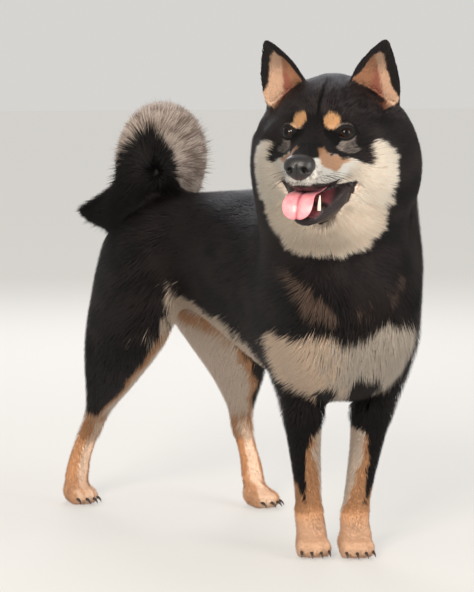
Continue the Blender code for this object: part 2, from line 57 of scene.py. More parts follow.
camera_data.sensor_fit = "AUTO"
camera_data.sensor_width = 36
camera_data.lens = FOCAL_PIXELS * 36 / max(PHOTO_SIZE)
camera_data.clip_start = 0.1
camera_data.dof.use_dof = False
camera = bpy.data.objects.new("portrait_camera", camera_data)
camera.location = CAMERA_PLACE
camera.rotation_euler = (math.pi / 2 - TILT_DOWN, 0, -math.atan2(LOOKS_ALONG[0], LOOKS_ALONG[1]))
bpy.context.collection.objects.link(camera)
bpy.context.scene.camera = camera

# Skin: the animal's own form, one closed sheet from nose to paws with no seam. The solids are the
# coat's outside, so a copy of all of them is melted together and then goes in by the coat's depth.
# The eyeballs are in it only to close their sockets, which the lids are shaped from later.
FLESH = [name for name in sorted(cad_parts) if name not in ("nose", "tongue")]
EYES = ("eye_left", "eye_right")
SKIN_VOXEL = 0.0019
FACE_MIDDLE = (0, 0, -0.03)  # in the head's own frame: forward, left and up from between the eyes
EVENED_ALL_OVER, EVENED_ON_BODY = 5, 24  # rounds of smoothing
BODY_SHARE = 0.25  # of the body's triangles, this share is kept
CLOSING = 0.0003  # closes the gaps that part the solids
JAW_TOP = -0.0722  # level of the gum; the solid canines are cut down to it and made anew
CANINE_ROOT = (0.034, 0.016)  # forward and sideways
CANINE_ROOM, CANINE_HEIGHT = (0.007, 0.0048), 0.014


def middle_of(node):
    lowest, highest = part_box(node)
    return np.array((lowest + highest) / 2)


def unit(vectors):
    vectors = np.asarray(vectors, float)
    return vectors / np.maximum(np.linalg.norm(vectors, axis=-1, keepdims=True), 1e-12)


EYE_BEHIND = 0.0085  # the eyeballs' middles lie this far behind the head frame's origin
HEAD_TIP = math.radians(3)
EYE_MIDDLES = {-1: middle_of("eye_right"), 1: middle_of("eye_left")}
HEAD_LEFT = unit(EYE_MIDDLES[1] - EYE_MIDDLES[-1])
level_ahead = np.cross(HEAD_LEFT, UP)
HEAD_AHEAD = level_ahead * math.cos(HEAD_TIP) - UP * math.sin(HEAD_TIP)
HEAD_UP = np.cross(HEAD_AHEAD, HEAD_LEFT)
BETWEEN_EYES = (EYE_MIDDLES[1] + EYE_MIDDLES[-1]) / 2 + HEAD_AHEAD * EYE_BEHIND
HEAD_TURN = np.array((HEAD_AHEAD, HEAD_LEFT, HEAD_UP))


def in_head(places):
    """Forward, left and up from between the eyes, of places in the frame."""
    return (np.asarray(places) - BETWEEN_EYES) @ HEAD_TURN.T


def from_head(places):
    return np.asarray(places) @ HEAD_TURN + BETWEEN_EYES


def ramp(values, low, high):
    """0 below low, 1 above high, smooth between; falls where low is above high."""
    t = np.clip((np.asarray(values, float) - low) / (high - low), 0, 1)
    return t * t * (3 - 2 * t)


def settle(value, *pulls):
    """The value, drawn towards each target in turn by the share that comes with it."""
    for target, share in pulls:
        value = value + (target - value) * share
    return value


def read(items, key, width, kind=np.float32):
    """One property of a mesh's points, edges or corners, as rows of numbers."""
    found = np.empty(len(items) * width, kind)
    items.foreach_get(key, found)
    return found.reshape(-1, width)


def places_of(mesh):
    return read(mesh.vertices, "co", 3).astype(float)


def normals_of(mesh):
    return read(mesh.vertex_normals, "vector", 3).astype(float)


def edges_of(mesh):
    return read(mesh.edges, "vertices", 2, np.int32)


def put_places(mesh, places):
    mesh.vertices.foreach_set("co", np.asarray(places, np.float32).ravel())
    mesh.update()


def spread(values, edges, times, share=0.5):
    """Evens out values over a mesh: each takes a share of the mean of its neighbours."""
    first, second = edges.T
    size = len(values)
    count = (np.bincount(first, minlength=size) + np.bincount(second, minlength=size))[:, None]
    for _ in range(times):
        total = [np.bincount(first, v[second], size) + np.bincount(second, v[first], size) for v in values.T]
        values = values + share * (np.stack(total, 1) / np.maximum(count, 1) - values)
    return values


def select_only(made):
    bpy.ops.object.select_all(action="DESELECT")
    made.select_set(True)
    bpy.context.view_layer.objects.active = made


def apply(made, name, kind, **settings):
    """Adds a modifier with its settings and applies it."""
    step = made.modifiers.new(name, kind)
    for key, value in settings.items():
        setattr(step, key, value)
    select_only(made)
    bpy.ops.object.modifier_apply(modifier=name)


def weight_group(made, name, weights):
    """A vertex group with weights from 0 to 1, in steps of a tenth."""
    group = made.vertex_groups.new(name=name)
    for step in range(1, 11):
        members = np.nonzero(np.round(weights * 10) == step)[0]
        group.add(members.tolist(), step / 10, "REPLACE")


def nearest_node(places):
    """The name of the solid whose surface is nearest to each place."""
    points, faces, owners = [], [], []
    for name in FLESH:
        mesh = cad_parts[name].data
        start = len(points)
        points += [vertex.co.copy() for vertex in mesh.vertices]
        faces += [[start + v for v in polygon.vertices] for polygon in mesh.polygons]
        owners += [name] * len(mesh.polygons)
    tree = BVHTree.FromPolygons(points, faces)
    return np.array([owners[tree.find_nearest(place)[2]] for place in places.tolist()])


bpy.ops.object.select_all(action="DESELECT")
for name in FLESH:
    part = bpy.data.objects.new("skin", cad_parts[name].data.copy())
    bpy.context.collection.objects.link(part)
    part.select_set(True)
bpy.context.view_layer.objects.active = part
bpy.ops.object.join()
skin = bpy.context.object
skin.data.materials.clear()
apply(skin, "merge", "WELD", merge_threshold=0.00002)
apply(skin, "close", "DISPLACE", strength=CLOSING, mid_level=0.0)
apply(skin, "melt", "REMESH", mode="VOXEL", voxel_size=SKIN_VOXEL)

melted = places_of(skin.data)
melted_edges = edges_of(skin.data)
in_skull = in_head(melted)
off_root = np.abs(np.abs(in_skull[:, :2]) - CANINE_ROOT)
solid_canine = (off_root < CANINE_ROOM).all(1) & (in_skull[:, 0] > 0)
solid_canine &= (in_skull[:, 2] > JAW_TOP) & (in_skull[:, 2] < JAW_TOP + CANINE_HEIGHT)
in_skull[solid_canine, 2] = JAW_TOP
melted = np.where(solid_canine[:, None], from_head(in_skull), melted)
in_skull = in_head(melted)
face_near = np.linalg.norm(in_skull - FACE_MIDDLE, axis=1)
fine = np.maximum(1 - ramp(face_near, 0.075, 0.11), 1 - ramp(melted[:, 2], 0.045, 0.07))
fine = np.maximum(fine, ramp(in_skull[:, 2], 0.030, 0.045))
smooth = spread(melted, melted_edges, EVENED_ALL_OVER)
smoother = spread(smooth, melted_edges, EVENED_ON_BODY)
put_places(skin.data, smooth + (smoother - smooth) * (1 - fine)[:, None])
weight_group(skin, "body", 1 - fine)
apply(skin, "thin_body", "DECIMATE", ratio=BODY_SHARE, vertex_group="body")
skin.vertex_groups.clear()

# How far the coat's tips stand off the skin, on each part of a shiba's double coat
COAT_DEPTH = {
    "head": 0.0045,
    "neck": 0.012,
    "chest": 0.011,
    "loin": 0.009,
    "rump": 0.009,
    "tail": 0.013,
    "ear": 0.0004,
    "eye": 0.0010,
    "lower_jaw": 0.0010,
    "foreleg": 0.0045,
    "hind_leg": 0.0065,
    "forepaw": 0.0018,
    "hind_foot": 0.0025,
}
MUZZLE_DEPTH = 0.0013
FOREHEAD_DEPTH = 0.0032
CHEEK_DEPTH = 0.0095
THROAT_DEPTH = 0.011


def part_of(names):
    """The kind of part, without its side."""
    return np.array([str(name).replace("_left", "").replace("_right", "") for name in names])


rough = places_of(skin.data)
owner = nearest_node(rough)
kind = part_of(owner)
depth = np.array([COAT_DEPTH[k] for k in kind])
a, b, c = in_head(rough).T
on_head = kind == "head"
muzzle = ramp(a, -0.004, 0.010) * ramp(c, -0.085, -0.070)
forehead = ramp(c, 0.002, 0.012)
cheek = ramp(-c, -0.002, 0.012) * ramp(np.abs(b), 0.034, 0.044) * ramp(-a, 0.004, 0.020)
throat = ramp(-c, 0.070, 0.082)
head_depth = settle(COAT_DEPTH["head"], (FOREHEAD_DEPTH, forehead), (CHEEK_DEPTH, cheek))
head_depth = settle(head_depth, (THROAT_DEPTH, throat), (MUZZLE_DEPTH, muzzle))
depth = np.where(on_head, head_depth, depth)
tail_tip = np.array(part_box("tail")[0])[0]
at_tip = 0.22 + 0.78 * ramp(rough[:, 0] - tail_tip, 0.012, 0.060)
depth = np.where(kind == "tail", depth * at_tip, depth)
edges = edges_of(skin.data)
depth = spread(depth[:, None], edges, 14)[:, 0]
INSET_STEPS = 4
for _ in range(INSET_STEPS):
    inset = places_of(skin.data) - normals_of(skin.data) * (depth / INSET_STEPS)[:, None]
    put_places(skin.data, inset + (spread(inset, edges, 1) - inset) * ramp(depth, 0.002, 0.006)[:, None])
ears_even = spread(places_of(skin.data), edges, 5)
put_places(skin.data, np.where((kind == "ear")[:, None], ears_even, places_of(skin.data)))

# Face: the lids are drawn over the eyeballs as two thin folds, the forehead has its furrow and the
# upper lip its groove. The sheet is cut finer there first, so that a lid's edge is a real edge.
EYE_RADIUS = (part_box("eye_left")[1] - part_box("eye_left")[0]).z / 2
LOOK_OUT, LOOK_UP, EYE_SLANT = math.radians(27), math.radians(4), math.radians(8)
OPENING_HALF_WIDTH, UPPER_LID, LOWER_LID = 0.0089, 0.0053, 0.0045
LID_THICKNESS = 0.0010
LID_FOLD = 0.0080
SOCKET_DEPTH = 0.0024  # the sheet goes this far under the eyeball's surface, inside the lids
FURROW_DEPTH, FURROW_WIDTH = 0.0026, 0.0030
GROOVE_DEPTH, GROOVE_WIDTH = 0.0014, 0.0013


def eye_axes(side):
    """Where an eye looks, then its outer corner's direction and the way up, square to that."""
    look = HEAD_AHEAD * math.cos(LOOK_OUT) * math.cos(LOOK_UP)
    look = look + HEAD_LEFT * side * math.sin(LOOK_OUT) * math.cos(LOOK_UP) + HEAD_UP * math.sin(LOOK_UP)
    outwards = unit(HEAD_LEFT * side - look * (HEAD_LEFT @ look) * side)
    up = unit(HEAD_UP - look * (HEAD_UP @ look) - outwards * (HEAD_UP @ outwards))
    corner = outwards * math.cos(EYE_SLANT) + up * math.sin(EYE_SLANT)
    return look, corner, up * math.cos(EYE_SLANT) - outwards * math.sin(EYE_SLANT)


def beyond_lids(places):
    """How far each place lies outside the nearer eye's opening, measured on the eyeball, and the side."""
    nearest = np.full(len(places), 0.05)
    which = np.zeros(len(places), int)
    for side, middle in EYE_MIDDLES.items():
        look, corner, up = eye_axes(side)
        ray = places - middle
        reach = np.linalg.norm(ray, axis=1)
        x, y = (ray @ corner) / reach * EYE_RADIUS, (ray @ up) / reach * EYE_RADIUS
        outside = np.full(len(places), -1.0)
        for height, way in ((UPPER_LID, 1), (LOWER_LID, -1)):
            arc = (OPENING_HALF_WIDTH**2 + height**2) / (2 * height)
            outside = np.maximum(outside, np.hypot(x, way * y - (height - arc)) - arc)
        outside = np.where((ray @ look > 0.15 * reach) & (reach < 0.024), outside, 0.05)
        which = np.where(outside < nearest, side, which)
        nearest = np.minimum(nearest, outside)
    return nearest, which


def cut_finer(made, wanted):
    """Halves the edges of the faces whose middles are wanted."""
    shape = bmesh.new()
    shape.from_mesh(made.data)
    middles = np.array([face.calc_center_median()[:] for face in shape.faces])
    chosen = wanted(middles)
    shape.faces.ensure_lookup_table()
    around = {edge for i in np.nonzero(chosen)[0] for edge in shape.faces[i].edges}
    bmesh.ops.subdivide_edges(shape, edges=list(around), cuts=1, use_grid_fill=True)
    bmesh.ops.triangulate(shape, faces=shape.faces)
    shape.to_mesh(made.data)
    shape.free()


def near_mouth(places):
    a, b, c = in_head(places).T
    return (a > -0.012) & (a < 0.066) & (c < -0.038) & (c > -0.096) & (np.abs(b) < 0.037)


cut_finer(skin, lambda places: (beyond_lids(places)[0] < 0.0085) | near_mouth(places))
cut_finer(skin, lambda places: beyond_lids(places)[0] < 0.0045)
cut_finer(skin, lambda places: np.abs(beyond_lids(places)[0] - 0.0004) < 0.0016)

face = places_of(skin.data)
outside, side_of = beyond_lids(face)
for side, middle in EYE_MIDDLES.items():
    mine = (side_of == side) & (outside < LID_FOLD)
    ray = face[mine] - middle
    reach = np.linalg.norm(ray, axis=1)
    out = outside[mine]
    lid = EYE_RADIUS + LID_THICKNESS * ramp(out, -0.0002, 0.0012)
    lid = EYE_RADIUS - SOCKET_DEPTH + (lid - EYE_RADIUS + SOCKET_DEPTH) * ramp(out, -0.0007, 0.0001)
    reach = lid + (np.maximum(reach, lid) - lid) * ramp(out, 0.0014, LID_FOLD)
    face[mine] = middle + unit(ray) * reach[:, None]
put_places(skin.data, face)
normals = normals_of(skin.data)
a, b, c = in_head(face).T
furrow = FURROW_DEPTH * np.exp(-((b / FURROW_WIDTH) ** 2)) * ramp(c, 0.012, 0.024) * ramp(c, 0.064, 0.050)
furrow = furrow * ramp(a, -0.05, -0.03)
philtrum = GROOVE_DEPTH * np.exp(-((b / GROOVE_WIDTH) ** 2)) * ramp(a, 0.050, 0.056) * ramp(c, -0.034, -0.040)
put_places(skin.data, face - normals * (furrow + philtrum)[:, None])
skin.data.shade_smooth()

# Markings: black and tan. Skin and coat read them from the same outlines, drawn in millimetres on one
# half of the head as seen a little from its side, on the chest as seen from the camera, and round each
# leg by the way that its surface faces. Each tuft takes one side or the other of a soft edge.
# Painted light goes in with them: a sheen on the black of the body and forehead, and painted shade along the
# forehead's furrow and on the camera's right of the chest patch.


def srgb(code):
    """A hex colour as linear red, green and blue."""
    parts = [int(code[i : i + 2], 16) / 255 for i in (1, 3, 5)]
    return np.array([p / 12.92 if p <= 0.04045 else ((p + 0.055) / 1.055) ** 2.4 for p in parts])


def ripple(places, size, seed):
    """Smooth noise from about -1 to 1, with features of about this size in metres."""
    draw = np.random.default_rng(seed)
    waves = unit(draw.normal(size=(9, 3))) * draw.uniform(0.6, 1.5, (9, 1)) * (math.pi / size)
    return np.sin(np.asarray(places) @ waves.T + draw.uniform(0, 2 * math.pi, 9)).sum(1) / 3


def depth_in(outline, across, up):
    """How far inside a closed outline each point lies; negative outside."""
    points = np.array(outline, float)
    nearest = np.full(len(across), 1e9)
    within = np.zeros(len(across), bool)
    for (x0, y0), (x1, y1) in zip(points, np.roll(points, -1, axis=0)):
        dx, dy = x1 - x0, y1 - y0
        t = np.clip(((across - x0) * dx + (up - y0) * dy) / (dx * dx + dy * dy), 0, 1)
        nearest = np.minimum(nearest, np.hypot(across - x0 - t * dx, up - y0 - t * dy))
        crossed = ((y0 > up) != (y1 > up)) & (across < x0 + (up - y0) / (dy or 1e-9) * dx)
        within ^= crossed
    return np.where(within, nearest, -nearest)


def in_photo(places):
    """Where the camera sees each place, in pixels of the photo's frame."""
    sight = LOOKS_ALONG * math.cos(TILT_DOWN) - UP * math.sin(TILT_DOWN)
    above = LOOKS_ALONG * math.sin(TILT_DOWN) + UP * math.cos(TILT_DOWN)
    ray = np.asarray(places) - np.array(CAMERA_PLACE)
    distance = ray @ sight
    x = PHOTO_SIZE[0] / 2 + FOCAL_PIXELS * (ray @ RIGHTWARDS) / distance
    return x, PHOTO_SIZE[1] / 2 - FOCAL_PIXELS * (ray @ above) / distance


COLOURS = {
    "black": "#161314",
    "black_sheen": "#2e2726",
    "cream": "#f8e0ca",
    "white": "#faf3e9",
    "cheek": "#fbe9d8",
    "tan": "#c9976f",
    "deep_tan": "#b9845b",
    "brow": "#e6b482",
    "eye_ring": "#b5a79c",
    "inner_corner": "#b98a63",
    "speckle": "#8d8682",
    "lip": "#231b1c",
    "lid": "#0d0b0b",
    "forehead": "#463e3e",
    "gum": "#7a4246",
    "chest_warm": "#f3d8c0",
    "chest_grey": "#d6cabc",
    "chevron": "#7d6759",
    "paw": "#c19c80",
    "leg_cream": "#e0cebd",
    "belly": "#d9c6b2",
    "ear_tan": "#a07458",
    "ear_flesh": "#8f5448",
    "ear_cream": "#d8b9a0",
    "tail_fringe": "#c9bbb0",
    "tail_brown": "#5d483c",
}
COLOURS = {name: srgb(code) for name, code in COLOURS.items()}
FACE_MASK = (
    (-60, -123), (-60, -26), (-3, -26), (0, -17.5), (5, -16), (13, -24), (20, -21), (32, -26), (42, -28),
    (52, -30), (57, -26), (55, -17), (54, -10), (61, -8), (70, -8), (76, -14), (79, -23), (80, -30),
    (79, -45), (71, -68), (65, -90), (50, -110), (28, -121), (8, -123),
)  # fmt: skip
NOSE_BRIDGE = ((-9, -28), (-9, -12), (3, -12), (6, -16), (3, -24), (0, -28))
MUZZLE_TAN = ((0, -18), (6, -16), (13, -24), (20, -22), (33, -27), (25, -34), (19, -40), (10, -37), (4, -33))
BROW = (16.5, 14.3, 8.6, 8.4)  # across, up, half width, half height
MOUTH = (
    (-22, -55.5), (-4, -57.5), (8, -59.5), (17, -56.5), (29, -49.5), (40, -45), (41.5, -48), (37, -57),
    (26, -72), (16, -83), (8, -89), (-4, -92.5), (-15, -91), (-22, -84),
)  # fmt: skip
EAR_INSIDE = (
    (39, 60), (47.5, 68), (62, 85), (68, 90), (73, 84), (77, 67), (81, 53), (88, 42), (87, 37), (80, 31),
    (73, 27), (65, 31), (59, 38), (51, 48),
)  # fmt: skip
CHEST_PATCH = (
    (20, 246), (16, 232), (22, 220), (33, 200), (45, 187), (58, 183), (66, 179), (71, 190), (85, 190),
    (91, 180), (97, 176), (103, 188), (110, 202), (117, 200), (132, 202), (138, 196), (132, 185),
    (147, 190), (158, 210), (168, 233), (168, 253), (147, 254), (134, 256), (122, 248), (110, 244),
    (106, 240), (95, 236), (85, 242), (74, 246), (58, 244), (45, 240), (38, 244), (29, 246),
)  # fmt: skip
CHEVRONS = (
    (
        (33, 321), (42, 319), (50, 303), (69, 295), (74, 279), (90, 266), (82, 259), (66, 262), (54, 273),
        (42, 293),
    ),
    ((150, 311), (150, 293), (138, 277), (122, 269), (109, 266), (111, 277), (128, 285), (139, 301)),
)  # fmt: skip
# The tail's pale fan, in pixels of the photo's frame
TAIL_FAN = (
    (100, 170), (104, 130), (118, 92), (150, 80), (190, 92), (222, 130), (222, 180), (205, 200),
    (190, 206), (178, 208), (172, 203), (180, 192), (178, 180), (176, 165), (172, 152), (166, 147),
    (160, 136), (153, 129), (146, 128), (138, 131), (130, 138), (122, 150), (116, 168),
)  # fmt: skip
LEG_SIDES = {"right": -1, "left": 1}


def round_leg(normals, side, heading):
    """The way a leg's surface faces, in degrees: 0 ahead, 90 outwards, -90 inwards."""
    ahead = np.array((math.sin(heading), -math.cos(heading), 0))
    outwards = np.array((math.cos(heading), math.sin(heading), 0)) * side
    return np.degrees(np.arctan2(normals @ outwards, normals @ ahead))


def on_face(places):
    """Millimetres forward, left and up on the head, then across and up as the outlines are drawn."""
    a, b, c = in_head(places).T * 1000
    return a, b, c, 0.951 * np.abs(b) - 0.309 * a, 0.990 * c - 0.137 * a


def bare_mouth(places, normals, kinds, reach=0.0):
    """1 on the bare lips and the inside of the mouth, 0 more than the reach outside them."""
    a, _, c, turned, level = on_face(places)
    around = np.isin(kinds, ("head", "lower_jaw")) & (a > -16) & (c < -38)
    inside = depth_in(MOUTH, turned, level) + 4.0 * (kinds == "lower_jaw") + reach
    lips = ramp(inside, -1.0, 0.6)
    underside = (kinds == "head") * ramp(-(normals @ HEAD_UP), 0.30, 0.70) * (a > 2) * (c < -44)
    upper_side = (kinds == "lower_jaw") * ramp(normals @ HEAD_UP, 0.15, 0.4)
    return around * np.maximum(lips, np.maximum(underside, upper_side))


def markings(places, normals, owners, grain):
    """The coat's linear colour at each place, with painted sheen and shade among it. Grain, from 0 to 1,
    settles soft edges, and 0.5 blends them.
    """
    places, normals = np.asarray(places), np.asarray(normals)
    kinds = part_of(owners)
    blended = np.allclose(grain, 0.5)
    colour = np.repeat(COLOURS["black"][None], len(places), 0)

    def lay(name, share, strength=1.0):
        nonlocal colour
        share = np.clip(share, 0, 1)
        if not blended:
            share = ramp(share, grain * 0.76, grain * 0.76 + 0.24)
        colour = settle(colour, (COLOURS[name], (share * strength)[:, None]))

    wander = ripple(places, 0.012, 3) * 1.6 + ripple(places, 0.004, 4) * 0.8
    # Painted sheen: a lighter brown-grey laid over the black by smooth noise, on the upper body, neck and
    # head
    sheen = 0.45 + 0.35 * ripple(places, 0.05, 5) + 0.25 * ripple(places, 0.018, 6)
    body = np.isin(kinds, ("chest", "loin", "rump", "neck", "hind_leg", "head"))
    lay("black_sheen", sheen * body * ramp(places[:, 2], 0.1, 0.2), 0.8)

    a, b, _, turned, level = on_face(places)
    facing = normals @ HEAD_AHEAD
    head = np.isin(kinds, ("head", "lower_jaw", "neck", "chest", "eye")) & (a > -92)
    head &= (facing > -0.45) | (level < -60)
    deep = depth_in(FACE_MASK, turned, level) + wander
    pale = head * ramp(deep, -2.2, 2.2)
    lay("cheek", pale)
    lay("white", pale * ramp(a, -12, 12) * ramp(turned, 50, 40))
    lay("cream", pale * ramp(-level, 60, 80) * 0.7)
    lay("black", head * ramp(depth_in(NOSE_BRIDGE, turned, level), -1.5, 1.5) * (a > 20))
    lay("tan", head * ramp(depth_in(MUZZLE_TAN, turned, level) + wander * 0.6, -2.2, 2.2), 0.9)
    near_nose = np.exp(-(((a - 58) / 14) ** 2) - ((level + 45) / 9) ** 2) * pale
    lay("speckle", near_nose * (0.55 + 0.45 * ripple(places, 0.0028, 7)), 0.7)
    forehead = head * ramp(level, 14, 24) * ramp(level, 66, 50) * (a > -80)
    # Painted sheen: a lighter, speckled grey over the black forehead
    lay("forehead", forehead * (0.55 + 0.3 * ripple(places, 0.004, 13)), 0.6)
    # Painted shade: the darkest black in a thin line along the forehead's furrow
    lay("lid", forehead * np.exp(-((b / 2.4) ** 2)), 0.8)
    browed = 1 - np.hypot((turned - BROW[0] - 2.8 * (b < 0)) / BROW[2], (level - BROW[1] + 1.5) / BROW[3])
    lay("brow", head * (a > -40) * ramp(browed + wander * 0.05, -0.2, 0.2))
    out, _ = beyond_lids(places)
    ring = head * ramp(out * 1000, 2.0, 3.2) * ramp(out * 1000, 6.4, 4.4) * ramp(level, 14, 9)
    lay("eye_ring", ring * (0.40 + 0.34 * ramp(level, 6, -3) + 0.12 * ripple(places, 0.003, 8)), 0.85)
    lay("black", ring * ramp(np.abs(out * 1000 - 4.6), 0.9, 0.2) * (level < -4), 0.5)
    corner = np.hypot(turned - 15.5, level + 3)
    lay("inner_corner", head * (a > -30) * ramp(corner, 6, 2), 0.8)
    lay("lid", head * ramp(out, 0.0030, 0.0022))
    lip_reach = 3.5 if blended else 0.0  # skin that the first tufts leave open is lip too
    lay("lip", ramp(bare_mouth(places, normals, kinds, lip_reach), 0.0, 0.35))
    gum = (kinds == "lower_jaw") * ramp(normals @ HEAD_UP, 0.2, 0.6) * ramp(np.abs(b), 24, 16) * (a < 46)
    lay("gum", gum * ramp(ripple(places, 0.009, 10), -0.9, 0.3), 0.7)

    opened = turned - np.where(b < 0, 0.16, 0.03) * np.maximum(turned - 60, 0)
    inside_ear = (kinds == "ear") * ramp(facing, -0.05, 0.2) + (kinds == "head") * ramp(facing, 0.25, 0.5)
    inside_ear = inside_ear * ramp(depth_in(EAR_INSIDE, opened, level) + wander * 0.4, -0.5, 2)
    lay("ear_tan", inside_ear)
    lay("ear_flesh", inside_ear * ramp(np.abs(turned - 66) + 0.25 * np.abs(level - 42), 15, 5), 0.75)
    lay("ear_cream", inside_ear * ramp(turned - 0.25 * (60 - level), 66, 72), 0.7)
    lay("black", inside_ear * ramp(level, 58, 84), 0.5)

    across, height = places @ RIGHTWARDS * 1000, places[:, 2] * 1000
    front = (normals @ LOOKS_ALONG < 0.25) & np.isin(kinds, ("chest", "neck", "foreleg"))
    patch = front * ramp(depth_in(CHEST_PATCH, across, height) + wander * 1.5, -4, 4)
    lay("chest_warm", patch)
    # Painted shade: the chest patch turns greyer towards the camera's right, where shade falls on it
    lay("chest_grey", patch * ramp(across + wander * 4, 62, 112))
    for outline, strength in zip(CHEVRONS, (0.6, 0.4)):
        lay("chevron", front * ramp(depth_in(outline, across, height) + wander, -5, 4), strength)

    under = np.isin(kinds, ("chest", "loin", "rump")) & (places[:, 1] > -0.06)
    lay("belly", under * ramp(-normals[:, 2] + wander * 0.04, 0.25, 0.5))
    behind = np.isin(kinds, ("rump", "hind_leg")) * ramp(normals[:, 1], 0.35, 0.6)
    behind = behind * ramp(np.abs(places[:, 0]), 0.036, 0.020)
    lay("belly", behind * ramp(places[:, 2] + wander * 0.004, 0.32, 0.27))

    for side_name, side in LEG_SIDES.items():
        wobble = wander * 4
        fore = np.isin(owners, (f"foreleg_{side_name}", f"forepaw_{side_name}"))
        turn = round_leg(normals, side, math.radians(-18)) + wobble
        tall = places[:, 2] * 1000
        first = np.interp(tall, (50, 55, 70, 94, 105, 131, 137, 145), (200, 22, 16, 12, 3, -20, -60, -185))
        last = np.interp(tall, (50, 55, 71.5, 94, 100, 120), (0, 24, 52, 100, 115, 185))
        black = ramp(turn, first - 8, first + 8) * ramp(turn, last + 8, last - 8) * (tall > 52)
        black = np.maximum(black, ramp(tall, 138, 148))
        pale_line = np.interp(tall, (45, 70, 140), (-85, -45, -14))
        lay("tan", fore * (1 - black))
        lay("leg_cream", fore * (1 - black) * ramp(turn, pale_line + 12, pale_line - 12))
        lay("paw", fore * ramp(tall, 55, 25))
        hind = np.isin(owners, (f"hind_leg_{side_name}", f"hind_foot_{side_name}"))
        hind |= (owners == "rump") & (places[:, 2] < 0.25) & (side * (places[:, 0] + 0.02) > 0)
        turn = round_leg(normals, side, 0.0) + wobble
        ease = 35 * ramp(tall, 175, 150) if side_name == "left" else 0
        first = np.interp(tall, (108, 113, 122, 137, 180, 214, 235), (200, 45, 18, 4, 0, -14, -60)) + ease
        black = ramp(turn, first - 9, first + 9) * ramp(tall, 108, 114)
        black = np.maximum(black, hind * ramp(np.abs(tall - 94), 9, 5) * ramp(np.abs(turn), 150, 165) * 0.8)
        lay("tan", hind * (1 - black))
        lay("leg_cream", hind * (1 - black) * ramp(turn, first - 10, first - 45) * ramp(tall, 95, 125))
        lay("cream", hind * ramp(tall, 112, 100) * ramp(np.abs(turn + 10), 55, 25), 0.8)
        lay("deep_tan", hind * ramp(tall, 130, 100) * ramp(np.abs(turn), 110, 140), 0.6)
        lay("paw", hind * ramp(tall, 35, 15), 0.5)

    fan = (kinds == "tail") * ramp(depth_in(TAIL_FAN, *in_photo(places)) + wander, -3, 4)
    lay("lid", (kinds == "tail") * 1.0, 0.8)
    lay("tail_fringe", fan)
    x, _ = in_photo(places)
    browner = 0.30 + 0.35 * ramp(x, 165, 200) + 0.35 * ripple(places, 0.008, 9)
    lay("tail_brown", fan * browner, 0.8)
    return np.clip(colour, 0, 1)


def keep_colours(mesh, colours):
    """Keeps a linear colour for each point of the mesh, which the material reads as coat_colour."""
    store = mesh.color_attributes.new("coat_colour", "FLOAT_COLOR", "POINT")
    rows = np.column_stack([colours, np.ones(len(colours))])
    store.data.foreach_set("color", rows.astype(np.float32).ravel())


def keep_values(mesh, name, values):
    """Keeps a number for each point of the mesh, which the material reads by its name."""
    store = mesh.attributes.new(name, "FLOAT", "POINT")
    store.data.foreach_set("value", np.asarray(values, np.float32))


place, normal = places_of(skin.data), normals_of(skin.data)
owner = nearest_node(place + normal * 0.002)
keep_colours(skin.data, markings(place, normal, owner, 0.5))


def add_node(tree, kind, settings=None, links=None):
    """Adds a node, sets its values and properties and links its inputs to the sockets given."""
    made = tree.nodes.new(kind)
    for name, value in (settings or {}).items():
        if name in made.inputs:
            made.inputs[name].default_value = value
        else:
            setattr(made, name, value)
    for name, source in (links or {}).items():
        tree.links.new(source, made.inputs[name])
    return made


def new_material(name):
    """An empty material and its node tree."""
    made = bpy.data.materials.new(name)
    made.use_nodes = True
    made.node_tree.nodes.clear()
    return made, made.node_tree


# Skin under short woolly undercoat: dull and finely rough, but smooth and wet on the bare lips
DOWN_PER_MM = 0.9
skin_material, tree = new_material("skin_with_undercoat")
seen = add_node(tree, "ShaderNodeAttribute", {"attribute_name": "coat_colour"})
where = add_node(tree, "ShaderNodeTexCoord").outputs["Object"]
down = add_node(tree, "ShaderNodeTexNoise", {"Scale": 1000 * DOWN_PER_MM, "Detail": 3.0}, {"Vector": where})
woolly = {"Strength": 0.6, "Distance": 0.0006}
bump = add_node(tree, "ShaderNodeBump", woolly, {"Height": down.outputs["Fac"]})
lips = add_node(tree, "ShaderNodeAttribute", {"attribute_name": "bare"})
gloss = add_node(tree, "ShaderNodeMapRange", {"To Min": 0.75, "To Max": 0.26}, {"Value": lips.outputs["Fac"]})
shader = add_node(
    tree,
    "ShaderNodeBsdfPrincipled",
    {"Specular IOR Level": 0.25},
    {
        "Base Color": seen.outputs["Color"],
        "Normal": bump.outputs["Normal"],
        "Roughness": gloss.outputs["Result"],
    },
)
add_node(tree, "ShaderNodeOutputMaterial", {}, {"Surface": shader.outputs["BSDF"]})
skin.data.materials.append(skin_material)
skin.name = skin.data.name = "skin"
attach(skin, "root")
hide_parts(*(name for name in FLESH if name not in EYES))

# Coat: a shiba's straight outer coat, as solid pointed tufts that overlap like thatch. Each grows from
# the skin, lies along the body in the direction the hair grows, and ends where the solid's outside is.

# How long the tufts are on each part
LENGTHS = {
    "head": 0.0085,
    "neck": 0.026,
    "chest": 0.025,
    "loin": 0.023,
    "rump": 0.024,
    "tail": 0.030,
    "ear": 0.0060,
    "eye": 0.0035,
    "lower_jaw": 0.0050,
    "foreleg": 0.0115,
    "hind_leg": 0.0170,
    "forepaw": 0.0052,
    "hind_foot": 0.0065,
}
FLOOR_GAP = 0.0003  # no tuft goes lower than this
CHEEK_LENGTH, THROAT_LENGTH, MUZZLE_LENGTH = 0.017, 0.018, 0.0042
EAR_RISE = 0.0011
TRIANGLES = read(skin.data.loops, "vertex_index", 1, np.int32).reshape(-1, 3)
select_only(skin)
bpy.ops.object.mode_set(mode="EDIT")
bpy.ops.mesh.select_all(action="SELECT")
skin.data.uv_layers.new(name="OFBake")
bpy.ops.uv.smart_project(angle_limit=math.radians(66), island_margin=0.002)
bpy.ops.object.mode_set(mode="OBJECT")
UNWRAP = read(skin.data.uv_layers["OFBake"].data, "uv", 2).reshape(-1, 3, 2).astype(float)

